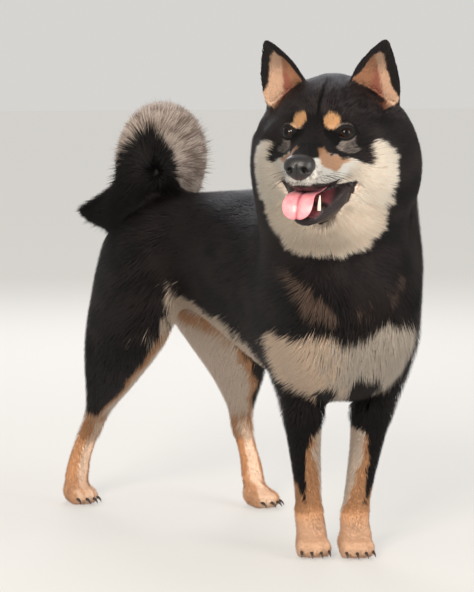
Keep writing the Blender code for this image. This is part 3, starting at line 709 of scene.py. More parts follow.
place, normal = places_of(skin.data), normals_of(skin.data)
edges = edges_of(skin.data)
kind = part_of(owner)
a, b, c = in_head(place).T
outside, _ = beyond_lids(place)
length = np.array([LENGTHS[k] for k in kind])
on_head = kind == "head"
muzzle = ramp(a, -0.006, 0.020) * ramp(c, -0.085, -0.070)
near_eye = ramp(outside, 0.016, 0.004)
cheek = ramp(-c, 0.0, 0.018) * ramp(np.abs(b), 0.032, 0.046) * ramp(-a, 0.0, 0.022)
throat = ramp(-c, 0.072, 0.090)
shortest = np.maximum(muzzle * (1 - throat), near_eye)
head_length = settle(LENGTHS["head"], (CHEEK_LENGTH, cheek), (THROAT_LENGTH, throat))
head_length = settle(head_length, (MUZZLE_LENGTH, shortest))
length = np.where(on_head, head_length, length)
rise = np.array([COAT_DEPTH[k] for k in kind])
head_rise = settle(COAT_DEPTH["head"], (FOREHEAD_DEPTH, ramp(c, 0.002, 0.012)), (CHEEK_DEPTH, cheek))
head_rise = settle(head_rise, (THROAT_DEPTH, throat), (MUZZLE_DEPTH, shortest))
rise = np.where(on_head, head_rise, rise)
rise = np.where(kind == "ear", EAR_RISE, rise)
rise = np.where(kind == "tail", rise * (0.3 + 0.7 * ramp(place[:, 0] - tail_tip, 0.004, 0.050)), rise)
shorter = np.isin(kind, ("foreleg", "hind_leg")) * ramp(place[:, 2], 0.12, 0.04)
length, rise = length * (1 - 0.45 * shorter), rise * (1 - 0.5 * shorter)

# The way the hair grows: back from the nose over the head, down from the chin, down the neck and
# the legs, back along the body, and out from the middle of the tail's curl, which faces the camera
NOSE_TIP, CHIN = from_head((0.066, 0, -0.030)), from_head((0.045, 0, -0.072))
CURL_MIDDLE = np.array((-0.0235, 0.1834, 0.405))
facing_front = ramp(-normal[:, 1], 0.3, 0.8)[:, None]
chest_flow = facing_front * (0, 0, -1) + (1 - facing_front) * (0, 0.9, -0.5)
neck_flow = unit(place - from_head((-0.05, 0, -0.02))) * 0.45 + np.array((0, 0.22, -0.85))
from_nose, from_chin = unit(place - NOSE_TIP), unit(place - CHIN)
nape = ramp(a, -0.055, -0.095)
head_flow = settle(from_nose, (from_chin, throat[:, None]), (neck_flow, nape[:, None]))
up_ear = HEAD_UP + HEAD_LEFT * 0.35 * np.sign(b)[:, None]
from_curl = place - CURL_MIDDLE
from_curl = from_curl - np.outer(from_curl @ LOOKS_ALONG, LOOKS_ALONG)
to_tip = unit((-0.758, 0.438, -0.42))
hanging = ramp(unit(from_curl) @ to_tip, -0.30, 0.55)[:, None]
fanned = unit(from_curl) + unit(np.cross(from_curl, -LOOKS_ALONG)) * 0.25
flow = np.tile(np.array((0.0, 1.0, -0.35)), (len(place), 1))
FLOWS = (
    (kind == "chest", chest_flow),
    (kind == "rump", (0.0, 0.75, -0.65)),
    ((kind == "rump") & (normal[:, 1] > 0.5), (0.0, 0.15, -1.0)),
    (kind == "neck", neck_flow),
    (kind == "foreleg", (0.0, 0.12, -1.0)),
    (kind == "hind_leg", (0.0, 0.35, -0.9)),
    (np.isin(kind, ("forepaw", "hind_foot")), (-0.2, -0.75, -0.6)),
    (on_head | (kind == "eye"), head_flow),
    (kind == "lower_jaw", from_chin),
    (kind == "ear", up_ear),
    (kind == "tail", settle(fanned, (to_tip, hanging))),
)
for here, way in FLOWS:
    flow = np.where(here[:, None], way, flow)
flow = unit(spread(unit(flow), edges, 8))
even = spread(np.column_stack([length, rise]), edges, 8)
length, rise = even.T
bare = np.maximum(bare_mouth(place, normal, kind), ramp(outside, 0.0009, 0.0003))
bare = np.maximum(bare, ramp(place[:, 2], 0.0025, 0.0008))
wet = bare_mouth(place, normal, kind) + 0.3 * ramp(outside, 0.0009, 0.0003)
keep_values(skin.data, "bare", np.clip(wet, 0, 1))

corners = place[TRIANGLES]
AREA = np.linalg.norm(np.cross(corners[:, 1] - corners[:, 0], corners[:, 2] - corners[:, 0]), axis=1) / 2
FACE_KIND = kind[TRIANGLES[:, 0]]
FACE_BARE = bare[TRIANGLES].max(1)
surface = BVHTree.FromPolygons(place.tolist(), TRIANGLES.tolist())


def scatter(chosen, count, crowding, draw):
    """Roots over the chosen faces, as many to an area as the crowding says."""
    total = np.cumsum(AREA * chosen * crowding * (FACE_BARE < 0.5))
    picked = np.searchsorted(total, (np.arange(count) + draw.random(count)) / count * total[-1] * 0.999999)
    first, second = np.sqrt(draw.random(count)), draw.random(count)
    shares = np.stack([1 - first, first * (1 - second), first * second], 1)
    corner = TRIANGLES[picked]

    def mixed(values):
        return np.einsum("ik,ikj->ij", shares, values[corner])

    found = {"place": mixed(place), "normal": unit(mixed(normal)), "flow": mixed(flow)}
    found["length"], found["rise"] = mixed(np.column_stack([length, rise])).T
    found["unwrap"] = np.einsum("ik,ikj->ij", shares, UNWRAP[picked])
    found["owner"] = owner[corner[:, 0]]
    return found


# Outer coat: straight hair with a low gloss, streaked along each tuft as if it were many hairs
HAIRS_TO_TUFT = (9.0, 0.6, 1.0)  # streaks across and along a tuft
coat_material, tree = new_material("straight_outer_coat")
seen = add_node(tree, "ShaderNodeAttribute", {"attribute_name": "coat_colour"})
strands = add_node(tree, "ShaderNodeUVMap", {"uv_map": "strand"})
combed = add_node(tree, "ShaderNodeMapping", {"Scale": HAIRS_TO_TUFT}, {"Vector": strands.outputs["UV"]})
fine = {"Scale": 1.0, "Detail": 2.0}
hairs = add_node(tree, "ShaderNodeTexNoise", fine, {"Vector": combed.outputs["Vector"]})
streaked = {"From Min": 0.3, "From Max": 0.7, "To Min": 0.84, "To Max": 1.14}
streak = add_node(tree, "ShaderNodeMapRange", streaked, {"Value": hairs.outputs["Fac"]})
shade = add_node(tree, "ShaderNodeVectorMath", {"operation": "SCALE"})
tree.links.new(seen.outputs["Color"], shade.inputs[0])
tree.links.new(streak.outputs["Result"], shade.inputs["Scale"])
ridged = {"Strength": 0.2, "Distance": 0.0003}
bump = add_node(tree, "ShaderNodeBump", ridged, {"Height": hairs.outputs["Fac"]})
shader = add_node(
    tree,
    "ShaderNodeBsdfPrincipled",
    {"Roughness": 0.55, "Specular IOR Level": 0.22},
    {"Base Color": shade.outputs["Vector"], "Normal": bump.outputs["Normal"]},
)
add_node(tree, "ShaderNodeOutputMaterial", {}, {"Surface": shader.outputs["BSDF"]})

ROOT_SINK = 0.0008  # a tuft starts this far under the skin
TUFT_SPREAD = 0.003  # each tuft's patch on the skin's unwrap
LENGTH_RANGE, RISE_RANGE, WIDTH_RANGE = (0.75, 1.2), (0.78, 1.04), (0.75, 1.25)
TAIL_LENGTHS = (0.007, 0.034)  # shortest and longest tuft there
SPIKE = np.array(((0, 2, 1), (0, 1, 3), (1, 2, 3), (2, 0, 3)))  # a three-sided base and the tip
SPIKE_FLAT = np.array(((0.0, 0.0), (0.5, 0.0), (1.0, 0.0), (0.5, 1.0)))
ROOT_SHADE, TAIL_ROOT_SHADE = 0.86, 0.86 * 0.35  # painted shade: a tuft is darker where it comes out of the coat, down among the others
TIP_LIGHT, BLACK_TIP_LIGHT = 1.12, 0.5  # and painted light at its tip, most of all on black, for the black coat's sheen
COLOUR_AT = 0.65  # how far along a tuft its marking is read


def coat_piece(name, chosen, count, width, slot, crowding, seed):
    """One joined mesh of tufts over the chosen faces. The tail's stand out, the others lie down."""
    draw = np.random.default_rng(seed)
    stands_out = name == "coat_tail"
    roots = scatter(chosen, count, crowding, draw)
    root, out, flow_here = roots["place"], roots["normal"], roots["flow"]
    lengths = roots["length"] * draw.uniform(*LENGTH_RANGE, count)
    rises = roots["rise"] * draw.uniform(*RISE_RANGE, count)
    sweep = 0.14 * ripple(root, 0.035, seed + 40) + draw.normal(0, 0.08, count)
    sideways = unit(np.cross(unit(flow_here), out)) * sweep[:, None]
    if stands_out:
        way = unit(flow_here)
        way = way - out * np.minimum(np.einsum("ij,ij->i", way, out), 0)[:, None]
        way = unit(unit(way) + sideways + out * draw.uniform(0.15, 0.45, (count, 1)))
        climb = np.maximum(np.einsum("ij,ij->i", way, out), 0.30)
        lengths = np.clip(roots["rise"] / climb, *TAIL_LENGTHS) * draw.uniform(0.7, 1.12, count)
        tip = root + way * lengths[:, None]
    else:
        way = flow_here - out * np.einsum("ij,ij->i", flow_here, out)[:, None]
        way = unit(unit(way) + sideways)
        found = [surface.find_nearest(spot)[:2] for spot in (root + way * lengths[:, None]).tolist()]
        under_tip, faced = np.array([(spot[:], normal[:]) for spot, normal in found]).transpose(1, 0, 2)
        tip = under_tip + unit(out + faced) * rises[:, None]
    base = root - out * ROOT_SINK
    along = unit(tip - base)
    side = unit(np.cross(along, out))
    half = (width / 2 * draw.uniform(*WIDTH_RANGE, count))[:, None]
    ridge = base + np.cross(side, along) * half * 0.45
    points = np.stack([base - side * half, ridge, base + side * half, tip], 1)
    points[..., 2] = np.maximum(points[..., 2], FLOOR_GAP)
    loops = (SPIKE.ravel()[None] + np.arange(count)[:, None] * 4).ravel()
    mesh = bpy.data.meshes.new(name)
    mesh.vertices.add(count * 4)
    mesh.vertices.foreach_set("co", points.astype(np.float32).ravel())
    mesh.loops.add(len(loops))
    mesh.loops.foreach_set("vertex_index", loops.astype(np.int32))
    mesh.polygons.add(count * 4)
    mesh.polygons.foreach_set("loop_start", np.arange(0, count * 12, 3, dtype=np.int32))
    mesh.update(calc_edges=True)
    mesh.shade_smooth()

    grain = draw.random(count)
    shown = root + way * (lengths * COLOUR_AT)[:, None]
    tint = markings(shown, out, roots["owner"], grain) * draw.normal(1.0, 0.07, (count, 1)).clip(0.8, 1.3)
    darkness = 1 - np.clip(tint.mean(1) * 6, 0, 1)
    # Painted shade at each tuft's root and painted light at its tip, in its colours
    levels = np.full((count, 4), TAIL_ROOT_SHADE if stands_out else ROOT_SHADE)
    levels[:, 3] = TIP_LIGHT + BLACK_TIP_LIGHT * darkness
    keep_colours(mesh, np.clip(tint[:, None] * levels[..., None], 0, 1).reshape(-1, 3))

    strand = draw.random((count, 1, 1)) * 50 + SPIKE_FLAT
    patch = roots["unwrap"][:, None] + (SPIKE_FLAT - 0.5) * TUFT_SPREAD
    for title, values in (("strand", strand), ("OFBake", patch)):
        layer = mesh.uv_layers.new(name=title)
        layer.data.foreach_set("uv", values.reshape(-1, 2)[loops].astype(np.float32).ravel())
    mesh.materials.append(coat_material)
    made = bpy.data.objects.new(name, mesh)
    bpy.context.collection.objects.link(made)
    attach(made, "root")


middle = corners.mean(1)
forward, _, level = in_head(middle).T
of_head = FACE_KIND == "head"
is_face = of_head & (forward > -0.024) & (level > -0.072)
is_face |= np.isin(FACE_KIND, ("eye", "lower_jaw"))
is_crown = of_head & ~is_face & (level > 0.006)
is_bib = of_head & ~is_face & (level < -0.068)
is_cheek = of_head & ~is_face & ~is_crown & ~is_bib
is_foot = np.isin(FACE_KIND, ("forepaw", "hind_foot"))
face_crowd = 1 + 1.2 * ramp(forward, -0.02, 0.02)
tail_crowd = 1 + 1.5 * ramp(np.linalg.norm(middle - CURL_MIDDLE, axis=1), 0.050, 0.020)
COAT_PIECES = (
    # name, its faces of the skin, tufts, width of a tuft, slot, how much denser on each face
    ("coat_face", is_face, 40000, 0.0007, "black_coat", face_crowd),
    ("coat_crown", is_crown, 24000, 0.0010, "black_coat", 1),
    ("coat_cheeks", is_cheek, 42000, 0.0010, "cream_coat", 1),
    ("coat_bib", is_bib, 24000, 0.0011, "cream_coat", 1),
    ("coat_ears", FACE_KIND == "ear", 14000, 0.0008, "black_coat", 1),
    ("coat_neck", FACE_KIND == "neck", 36000, 0.0014, "black_coat", 1),
    ("coat_chest", FACE_KIND == "chest", 42000, 0.0014, "black_coat", 1),
    ("coat_loin", FACE_KIND == "loin", 26000, 0.0014, "black_coat", 1),
    ("coat_rump", FACE_KIND == "rump", 28000, 0.0014, "black_coat", 1),
    ("coat_tail", FACE_KIND == "tail", 38000, 0.0011, "black_coat", tail_crowd),
    ("coat_forelegs", FACE_KIND == "foreleg", 20000, 0.0010, "tan_coat", 1),
    ("coat_hind_legs", FACE_KIND == "hind_leg", 26000, 0.0012, "tan_coat", 1),
    ("coat_feet", is_foot, 14000, 0.0008, "tan_coat", 1),
)
for seed, coat_row in enumerate(COAT_PIECES, 11):
    coat_piece(*coat_row, seed)

# Eyes: near-black brown, each a ball with the cornea's bulge, glazed with tears. The iris and pupil
# are drawn by the angle from the way the eye looks, kept with the mesh.
CORNEA_BULGE, CORNEA_EDGE = 0.0007, math.radians(38)
IRIS_STOPS = (
    # turned from the pupil's middle, in quarter turns: pupil, iris, its dark rim, the white in shade
    (0.00, "#060405"),
    (0.21, "#040303"),
    (0.25, "#25120a"),
    (0.40, "#170b06"),
    (0.46, "#060303"),
    (0.56, "#1a1210"),
    (1.00, "#4b3a34"),
)


def unit_ball(name, segments, rings):
    """A ball of radius 1 at the origin, for a piece to be drawn out of."""
    bpy.ops.object.select_all(action="DESELECT")
    bpy.ops.mesh.primitive_uv_sphere_add(segments=segments, ring_count=rings, radius=1.0)
    made = bpy.context.object
    made.name = made.data.name = name
    return made


# Eyeball under a film of tears: smooth and glassy, dark all over, with small sharp glints
eye_material, tree = new_material("wet_eyeball")
turned = add_node(tree, "ShaderNodeAttribute", {"attribute_name": "from_pupil"})
tone = add_node(tree, "ShaderNodeValToRGB", {}, {"Fac": turned.outputs["Fac"]})
stops = tone.color_ramp.elements
stops[-1].position = 1.0
for position, _ in IRIS_STOPS[1:-1]:
    stops.new(position)
for stop, (_, code) in zip(stops, IRIS_STOPS):
    stop.color = (*srgb(code), 1)
shader = add_node(
    tree,
    "ShaderNodeBsdfPrincipled",
    {"Roughness": 0.10, "Specular IOR Level": 0.08, "Coat Weight": 0.3, "Coat Roughness": 0.03},
    {"Base Color": tone.outputs["Color"]},
)
add_node(tree, "ShaderNodeOutputMaterial", {}, {"Surface": shader.outputs["BSDF"]})
for side, side_name in ((-1, "right"), (1, "left")):
    look, corner, up = eye_axes(side)
    eye = unit_ball(f"eyeball_{side_name}", 64, 48)
    ball = places_of(eye.data)
    turned_away = np.arccos(np.clip(ball[:, 2], -1, 1))
    reach = EYE_RADIUS + CORNEA_BULGE * ramp(turned_away, CORNEA_EDGE, 0.2)
    eye_turn = np.array((corner, np.cross(look, corner), look))
    put_places(eye.data, EYE_MIDDLES[side] + (ball * reach[:, None]) @ eye_turn)
    keep_values(eye.data, "from_pupil", turned_away / math.pi * 2)
    eye.data.shade_smooth()
    eye.data.materials.append(eye_material)
    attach(eye, "root")
    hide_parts(f"eye_{side_name}")

# Nose leather: bare, black and pebbled, broad above, with a comma-shaped nostril on each side and a
# groove down to the lip. A ball is drawn out to its form, and the nostrils are pressed in.
NOSE_MIDDLE, NOSE_REACH = np.array((0.0565, -0.0012, -0.0300)), np.array((0.0140, 0.0160, 0.0128))
NOSTRIL_ASIDE, NOSTRIL_LEVEL = 0.0072, -0.0320
HOLE_DEPTH, SLIT_DEPTH, RIM_HEIGHT, NOSE_GROOVE = 0.0062, 0.0026, 0.0007, 0.0011
nose = unit_ball("nose_leather", 128, 96)
ball = places_of(nose.data)[:, (2, 0, 1)]
square = (np.abs(ball) ** 2.5).sum(1) ** (-1 / 2.5)
ball = ball * square[:, None]
low = np.clip(-ball[:, 2], 0, 1)
ball[:, 1] *= 1 - 0.42 * low**1.6
ball[:, 2] *= 1 + 0.06 * low
ball[:, 0] *= 1 - 0.16 * low - 0.10 * np.clip(ball[:, 2], 0, 1) ** 2
spot = NOSE_MIDDLE + ball * NOSE_REACH
beside = np.abs(spot[:, 1] - NOSE_MIDDLE[1]) - NOSTRIL_ASIDE
level = spot[:, 2] - NOSTRIL_LEVEL
front = ramp(spot[:, 0], 0.052, 0.060)
hole = np.exp(-((beside / 0.0027) ** 2) - (level / 0.0026) ** 2)
slit = np.exp(-(((beside - 0.0048) / 0.0036) ** 2) - ((level + 0.0028 - 0.15 * beside) / 0.0012) ** 2)
rim = np.exp(-(((np.hypot(beside, level) - 0.0042) / 0.0013) ** 2)) * ramp(level, -0.004, 0.002)
groove = np.exp(-(((spot[:, 1] - NOSE_MIDDLE[1]) / 0.0009) ** 2)) * ramp(spot[:, 2], -0.024, -0.031)
press = HOLE_DEPTH * hole + SLIT_DEPTH * slit - RIM_HEIGHT * rim
spot[:, 0] -= (press + NOSE_GROOVE * groove) * front
put_places(nose.data, from_head(spot))
nose.data.shade_smooth()
# Painted shade: how deep in a nostril each point lies, which darkens the leather there
keep_values(nose.data, "pit", np.clip(hole * 1.3 + slit * 0.8, 0, 1))

# Bare pebbled skin kept moist: a soft broken shine on black, with painted shade darker still inside the
# nostrils
PEBBLES_PER_MM = 1.0
nose_material, tree = new_material("nose_leather")
where = add_node(tree, "ShaderNodeTexCoord").outputs["Object"]
pits = add_node(tree, "ShaderNodeAttribute", {"attribute_name": "pit"})
pebbles = add_node(tree, "ShaderNodeTexVoronoi", {"Scale": 1000 * PEBBLES_PER_MM}, {"Vector": where})
pebbled = {"Strength": 0.55, "Distance": 0.0003, "invert": True}
bump = add_node(tree, "ShaderNodeBump", pebbled, {"Height": pebbles.outputs["Distance"]})
tone = add_node(tree, "ShaderNodeValToRGB", {}, {"Fac": pits.outputs["Fac"]})
tone.color_ramp.elements[0].color = (*srgb("#141213"), 1)
tone.color_ramp.elements[1].color = (*srgb("#050404"), 1)
shader = add_node(
    tree,
    "ShaderNodeBsdfPrincipled",
    {"Roughness": 0.40, "Specular IOR Level": 0.5, "Coat Weight": 0.15, "Coat Roughness": 0.3},
    {"Base Color": tone.outputs["Color"], "Normal": bump.outputs["Normal"]},
)
add_node(tree, "ShaderNodeOutputMaterial", {}, {"Surface": shader.outputs["BSDF"]})
nose.data.materials.append(nose_material)
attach(nose, "root")
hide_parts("nose")

# Tongue: pink and wet, lying in the jaw and hanging over the lip, with a groove along its middle and
# raised edges. Rings of points follow its line from the throat to the tip.


def smooth_rows(rows, steps):
    """Rows of numbers on one smooth curve through the rows given."""
    rows = np.array(rows, float)
    padded = np.vstack([2 * rows[0] - rows[1], rows, 2 * rows[-1] - rows[-2]])
    found = []
    for before, here, after, beyond in zip(padded, padded[1:], padded[2:], padded[3:]):
        for t in np.arange(steps) / steps:
            bend = t**2 * (before - 2.5 * here + 2 * after - 0.5 * beyond)
            twist = t**3 * (1.5 * (here - after) + 0.5 * (beyond - before))
            found.append(here + 0.5 * t * (after - before) + bend + twist)
    return np.array([*found, rows[-1]])


def solid_of(name, points, faces):
    """A mesh object with these points and faces, and with every face outwards."""
    mesh = bpy.data.meshes.new(name)
    mesh.from_pydata(points, [], faces)
    shape = bmesh.new()
    shape.from_mesh(mesh)
    bmesh.ops.recalc_face_normals(shape, faces=shape.faces)
    shape.to_mesh(mesh)
    shape.free()
    made = bpy.data.objects.new(name, mesh)
    bpy.context.collection.objects.link(made)
    return made


def closed_tube(name, loops):
    """A closed, smooth object through rings of points, with its ends filled."""
    count, sides = len(loops), len(loops[0])
    faces = [
        (i * sides + k, i * sides + (k + 1) % sides, (i + 1) * sides + (k + 1) % sides, (i + 1) * sides + k)
        for i in range(count - 1)
        for k in range(sides)
    ]
    faces += [tuple(range(sides))[::-1], tuple(range((count - 1) * sides, count * sides))]
    made = solid_of(name, np.concatenate(loops).tolist(), faces)
    made.data.shade_smooth()
    return made


TONGUE_LINE = (
    # forward, left, level, half width
    (-0.0040, 0.0000, -0.0520, 0.0140),
    (0.0120, -0.0005, -0.0560, 0.0145),
    (0.0280, -0.0020, -0.0590, 0.0145),
    (0.0400, -0.0032, -0.0600, 0.0148),
    (0.0485, -0.0040, -0.0630, 0.0156),
    (0.0530, -0.0046, -0.0685, 0.0162),
    (0.0552, -0.0050, -0.0745, 0.0152),
    (0.0560, -0.0053, -0.0790, 0.0124),
    (0.0562, -0.0054, -0.0818, 0.0084),
    (0.0560, -0.0054, -0.0830, 0.0030),
)
TONGUE_THICKNESS, TONGUE_EDGE, TONGUE_GROOVE = 0.0023, 0.0017, 0.0010
rows = smooth_rows(TONGUE_LINE, 6)
line, half_widths = rows[:, :3], rows[:, 3]
heading = unit(np.gradient(line, axis=0))
turns = np.linspace(0, 2 * math.pi, 40, endpoint=False)
across, over = np.cos(turns), np.sin(turns)
leftward = np.array((0.0, 1.0, 0.0))
loops, fold = [], []
for spot, ahead, half_width in zip(line, heading, half_widths):
    upward = unit(np.cross(ahead, leftward))
    thickness = TONGUE_THICKNESS * min(1.0, half_width / 0.009)
    groove = np.exp(-((across * half_width / 0.0013) ** 2)) * (over > 0)
    height = over * thickness * (1 - 0.35 * across**2) + TONGUE_EDGE * across**2 - TONGUE_GROOVE * groove
    loops.append(from_head(spot + np.outer(across * half_width, leftward) + np.outer(height, upward)))
    fold.append(groove)
tongue = closed_tube("tongue_flesh", loops)
keep_values(tongue.data, "fold", np.concatenate(fold))

# Living flesh under spit: a little light goes in, small bumps break the shine, and painted shade darkens the
# groove
PAPILLAE_PER_MM, MOTTLES_PER_MM = 1.5, 0.16
tongue_material, tree = new_material("tongue_flesh")
where = add_node(tree, "ShaderNodeTexCoord").outputs["Object"]
folds = add_node(tree, "ShaderNodeAttribute", {"attribute_name": "fold"})
papillae = add_node(tree, "ShaderNodeTexVoronoi", {"Scale": 1000 * PAPILLAE_PER_MM}, {"Vector": where})
mottled = {"Scale": 1000 * MOTTLES_PER_MM, "Detail": 3.0}
mottle = add_node(tree, "ShaderNodeTexNoise", mottled, {"Vector": where})
flesh = add_node(tree, "ShaderNodeValToRGB", {}, {"Fac": mottle.outputs["Fac"]})
for stop, position, code in zip(flesh.color_ramp.elements, (0.3, 0.7), ("#d27b83", "#e59aa0")):
    stop.position = position
    stop.color = (*srgb(code), 1)
# Painted shade: the flesh darker in the groove
folded = add_node(
    tree,
    "ShaderNodeMixRGB",
    {"Color2": (*srgb("#a3505b"), 1)},
    {"Fac": folds.outputs["Fac"], "Color1": flesh.outputs["Color"]},
)
bumpy = {"Strength": 0.5, "Distance": 0.0002}
bump = add_node(tree, "ShaderNodeBump", bumpy, {"Height": papillae.outputs["Distance"]})
shader = add_node(
    tree,
    "ShaderNodeBsdfPrincipled",
    {
        "Roughness": 0.38,
        "Subsurface Weight": 0.15,
        "Subsurface Scale": 0.003,
        "Coat Weight": 0.3,
        "Coat Roughness": 0.2,
    },
    {"Base Color": folded.outputs["Color"], "Normal": bump.outputs["Normal"]},
)
add_node(tree, "ShaderNodeOutputMaterial", {}, {"Surface": shader.outputs["BSDF"]})
tongue.data.materials.append(tongue_material)
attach(tongue, "root")
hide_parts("tongue")

# Lower canines: two curved, pointed teeth of ivory enamel, one on each side of the tongue. Each is a
# tube drawn along its bend, with its root under the gum.

# Enamel: hard, smooth and shiny, white with a faint yellow stain
STAINS_PER_MM = 0.3
tooth_material, tree = new_material("tooth_enamel")
where = add_node(tree, "ShaderNodeTexCoord").outputs["Object"]
stain = add_node(tree, "ShaderNodeTexNoise", {"Scale": 1000 * STAINS_PER_MM}, {"Vector": where})
ivory = add_node(tree, "ShaderNodeValToRGB", {}, {"Fac": stain.outputs["Fac"]})
ivory.color_ramp.elements[0].color = (*srgb("#dccfb4"), 1)
ivory.color_ramp.elements[1].color = (*srgb("#f4eee2"), 1)
shader = add_node(
    tree,
    "ShaderNodeBsdfPrincipled",
    {"Roughness": 0.22, "Coat Weight": 0.3, "Coat Roughness": 0.1},
    {"Base Color": ivory.outputs["Color"]},
)
add_node(tree, "ShaderNodeOutputMaterial", {}, {"Surface": shader.outputs["BSDF"]})
CANINE_LINE = (
    # forward, aside, level, half width
    (0.0370, 0.0128, -0.0760, 0.0024),
    (0.0385, 0.0134, -0.0710, 0.0023),
    (0.0398, 0.0142, -0.0660, 0.0017),
    (0.0402, 0.0147, -0.0620, 0.0010),
    (0.0400, 0.0149, -0.0598, 0.0003),
)
oval = np.column_stack([across[::2], 0.8 * over[::2], 0 * across[::2]])
for side, side_name in ((-1, "right"), (1, "left")):
    canine = smooth_rows(CANINE_LINE, 5) * (1, side, 1, 1)
    loops = [from_head(row[:3] + row[3] * oval) for row in canine]
    tooth = closed_tube(f"canine_{side_name}", loops)
    tooth.data.materials.append(tooth_material)
    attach(tooth, "root")

# Claws: four to a foot, short, dark, curved horn, worn blunt on the ground. Each is a tube drawn down
# along its bend from inside the toe, to end just above the floor.
PAWS = {
    # middle of the paw, the way it points in degrees, size
    "forepaw_left": ((0.0224, -0.1810), -14, 1.0),
    "forepaw_right": ((-0.0156, -0.1550), -20, 1.0),
    "hind_foot_left": ((0.0884, 0.1310), 14, 0.95),
    "hind_foot_right": ((-0.0906, 0.2640), 8, 0.95),
}
# For each toe, the steps to the side and how far forward it starts
TOES = ((-1.45, 0.0080), (-0.50, 0.0145), (0.50, 0.0145), (1.45, 0.0080))
TOE_SPACING, TOE_FAN = 0.0092, 0.09  # metres, and radians for each step away from the middle
CLAW_LINE = (
    # ahead of the toe, height, half width
    (0.0095, 0.0085, 0.0019),
    (0.0135, 0.0082, 0.0017),
    (0.0172, 0.0060, 0.0011),
    (0.0186, 0.0036, 0.0003),
)

# Horn: a dull polish from the ground, near black with a browner grain
HORN_GRAINS_PER_MM = 0.7
claw_material, tree = new_material("dark_claw_horn")
where = add_node(tree, "ShaderNodeTexCoord").outputs["Object"]
grain = add_node(tree, "ShaderNodeTexNoise", {"Scale": 1000 * HORN_GRAINS_PER_MM}, {"Vector": where})
horn = add_node(tree, "ShaderNodeValToRGB", {}, {"Fac": grain.outputs["Fac"]})
horn.color_ramp.elements[0].color = (*srgb("#1c1715"), 1)
horn.color_ramp.elements[1].color = (*srgb("#4a3d36"), 1)
polished = {"Roughness": 0.34}
shader = add_node(tree, "ShaderNodeBsdfPrincipled", polished, {"Base Color": horn.outputs["Color"]})
add_node(tree, "ShaderNodeOutputMaterial", {}, {"Surface": shader.outputs["BSDF"]})
for foot, ((x, y), heading_degrees, size) in PAWS.items():
    heading = math.radians(heading_degrees)
    sideways = np.array((math.cos(heading), math.sin(heading), 0))
    forward = np.array((math.sin(heading), -math.cos(heading), 0))
    for number, (spacing, reach) in enumerate(TOES, 1):
        fan = heading + spacing * TOE_FAN
        ahead = np.array((math.sin(fan), -math.cos(fan), 0))
        toe = np.array((x, y, 0.0)) + sideways * (spacing * TOE_SPACING * size) + forward * (reach * size)
        loops = []
        for along, height, thick in smooth_rows(CLAW_LINE, 4):
            ring = np.outer(across[::4] * thick, np.cross(ahead, UP)) + np.outer(over[::4] * thick, UP)
            loops.append(toe + ahead * along + UP * height + ring)
        made = closed_tube(f"claw_{foot}_{number}", loops)
        made.data.materials.append(claw_material)
        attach(made, "root")

# Whiskers and lashes: stiff dark hairs, three rows of whiskers on each side of the muzzle and a row
# of lashes on each upper lid. Each is a thin curved cone that grows out of the skin.
WHISKER_ROWS = (-0.0385, -0.0425, -0.0465)
WHISKER_THICKNESS, LASH_THICKNESS = 0.00022, 0.00013
HAIR_BEND = 0.18

# Coarse hair: dark and a little glossy
whisker_material, tree = new_material("stiff_whisker_hair")
shader = add_node(tree, "ShaderNodeBsdfPrincipled", {"Base Color": (*srgb("#1b1716"), 1), "Roughness": 0.4})
add_node(tree, "ShaderNodeOutputMaterial", {}, {"Surface": shader.outputs["BSDF"]})
draw = np.random.default_rng(31)
hairs = []
for side in (-1, 1):
    for row, level in enumerate(WHISKER_ROWS):
        for column in range(4):
            start = np.array((0.050 - column * 0.0075, side * 0.030, level + column * 0.0006))
            start = start + draw.normal(0, 0.0008, 3)
            spot, out, _, _ = surface.find_nearest(from_head(start).tolist())
            way = unit(HEAD_LEFT * side * 0.95 - HEAD_AHEAD * 0.55 - HEAD_UP * (0.10 + 0.16 * row))
            hairs.append((np.array(spot), way, -HEAD_UP, draw.uniform(0.018, 0.032), WHISKER_THICKNESS))
for side, middle_of_eye in EYE_MIDDLES.items():
    look, corner, up = eye_axes(side)
    for t in np.linspace(-0.75, 0.95, 34):
        rise_here = UPPER_LID * (1 - t * t)
        around = look + corner * (t * OPENING_HALF_WIDTH / EYE_RADIUS) + up * (rise_here / EYE_RADIUS)
        start = middle_of_eye + unit(around) * (EYE_RADIUS + 0.0006)
        way = unit(look * 0.8 + corner * (0.35 + 0.4 * t) + up * 0.2)
        hairs.append((start, way, up, draw.uniform(0.003, 0.005), LASH_THICKNESS))
points, faces = [], []
for start, way, bend, reach, thick in hairs:
    side_way = unit(np.cross(way, bend))
    other = np.cross(side_way, way)
    base = len(points)
    for t in (-0.06, 0.3, 0.65):
        spot = start + way * reach * t + bend * reach * HAIR_BEND * max(t, 0) ** 2
        for turn in np.arange(4) * math.pi / 2:
            rim = side_way * math.cos(turn) + other * math.sin(turn)
            points.append(spot + rim * thick * (1 - 0.8 * max(t, 0)))
    points.append(start + way * reach + bend * reach * HAIR_BEND)
    faces.append((base + 3, base + 2, base + 1, base))
    for ring in range(2):
        for k in range(4):
            here, there = base + ring * 4 + k, base + ring * 4 + (k + 1) % 4
            faces.append((here, there, there + 4, here + 4))
    faces += [(base + 8 + k, base + 8 + (k + 1) % 4, base + 12) for k in range(4)]
whiskers = solid_of("whiskers_and_lashes", [tuple(spot) for spot in points], faces)
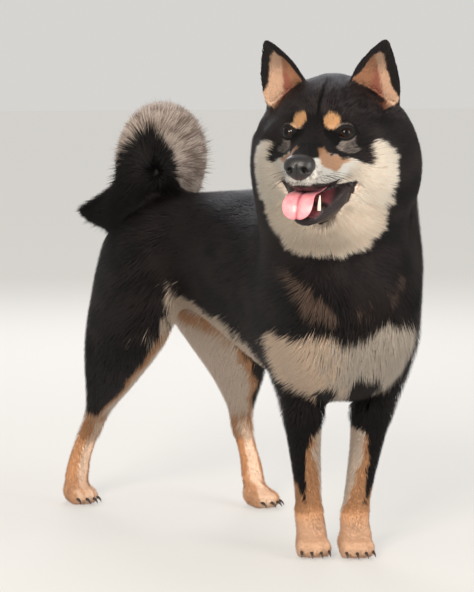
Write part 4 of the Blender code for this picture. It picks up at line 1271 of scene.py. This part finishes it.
whiskers.data.materials.append(whisker_material)
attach(whiskers, "root")

# Stage: a plain pale floor, four soft studio lamps and an even pale surround. The floor gives off a
# little light of its own, so that it stays pale far away.
FLOOR_SIZE = 80
bpy.ops.object.select_all(action="DESELECT")
bpy.ops.mesh.primitive_plane_add(size=FLOOR_SIZE, location=(0, 0, 0))
floor = bpy.context.object
floor.name = "floor"

# Flat paint: no shine at all
floor_material, tree = new_material("pale_floor_paint")
shader = add_node(
    tree,
    "ShaderNodeBsdfPrincipled",
    {
        "Base Color": (*srgb("#9a9894"), 1),
        "Roughness": 1.0,
        "Specular IOR Level": 0.0,
        "Emission Color": (*srgb("#e6e4e0"), 1),
        "Emission Strength": 0.55,
    },
)
add_node(tree, "ShaderNodeOutputMaterial", {}, {"Surface": shader.outputs["BSDF"]})
floor.data.materials.append(floor_material)
LAMPS = (
    # name, place, aimed at, size, watts, colour
    ("key_softbox", (-2.2, -2.0, 1.7), (0, 0, 0.35), 1.0, 88, "#fff1e0"),
    ("fill_softbox", (1.2, -2.6, 1.0), (0, 0, 0.35), 1.6, 52, "#fbf6f2"),
    ("catch_light", (-2.1, -2.3, 1.25), (0, -0.15, 0.46), 0.22, 12, "#f2f6ff"),
    ("rim_softbox", (0.9, 2.2, 1.9), (0, 0, 0.35), 1.2, 45, "#f4f6ff"),
)
for name, spot, aim, size, watts, tint in LAMPS:
    lamp = bpy.data.lights.new(name, "AREA")
    lamp.size, lamp.energy, lamp.color = size, watts, tuple(srgb(tint))
    stand = bpy.data.objects.new(name, lamp)
    stand.location = spot
    stand.rotation_euler = (Vector(aim) - Vector(spot)).to_track_quat("-Z", "Y").to_euler()
    bpy.context.collection.objects.link(stand)
world = bpy.data.worlds.new("studio")
world.use_nodes = True
world.node_tree.nodes["Background"].inputs["Color"].default_value = (*srgb("#e6e4e1"), 1)
world.node_tree.nodes["Background"].inputs["Strength"].default_value = 0.85
bpy.context.scene.world = world
bpy.context.scene.view_settings.view_transform = "Standard"
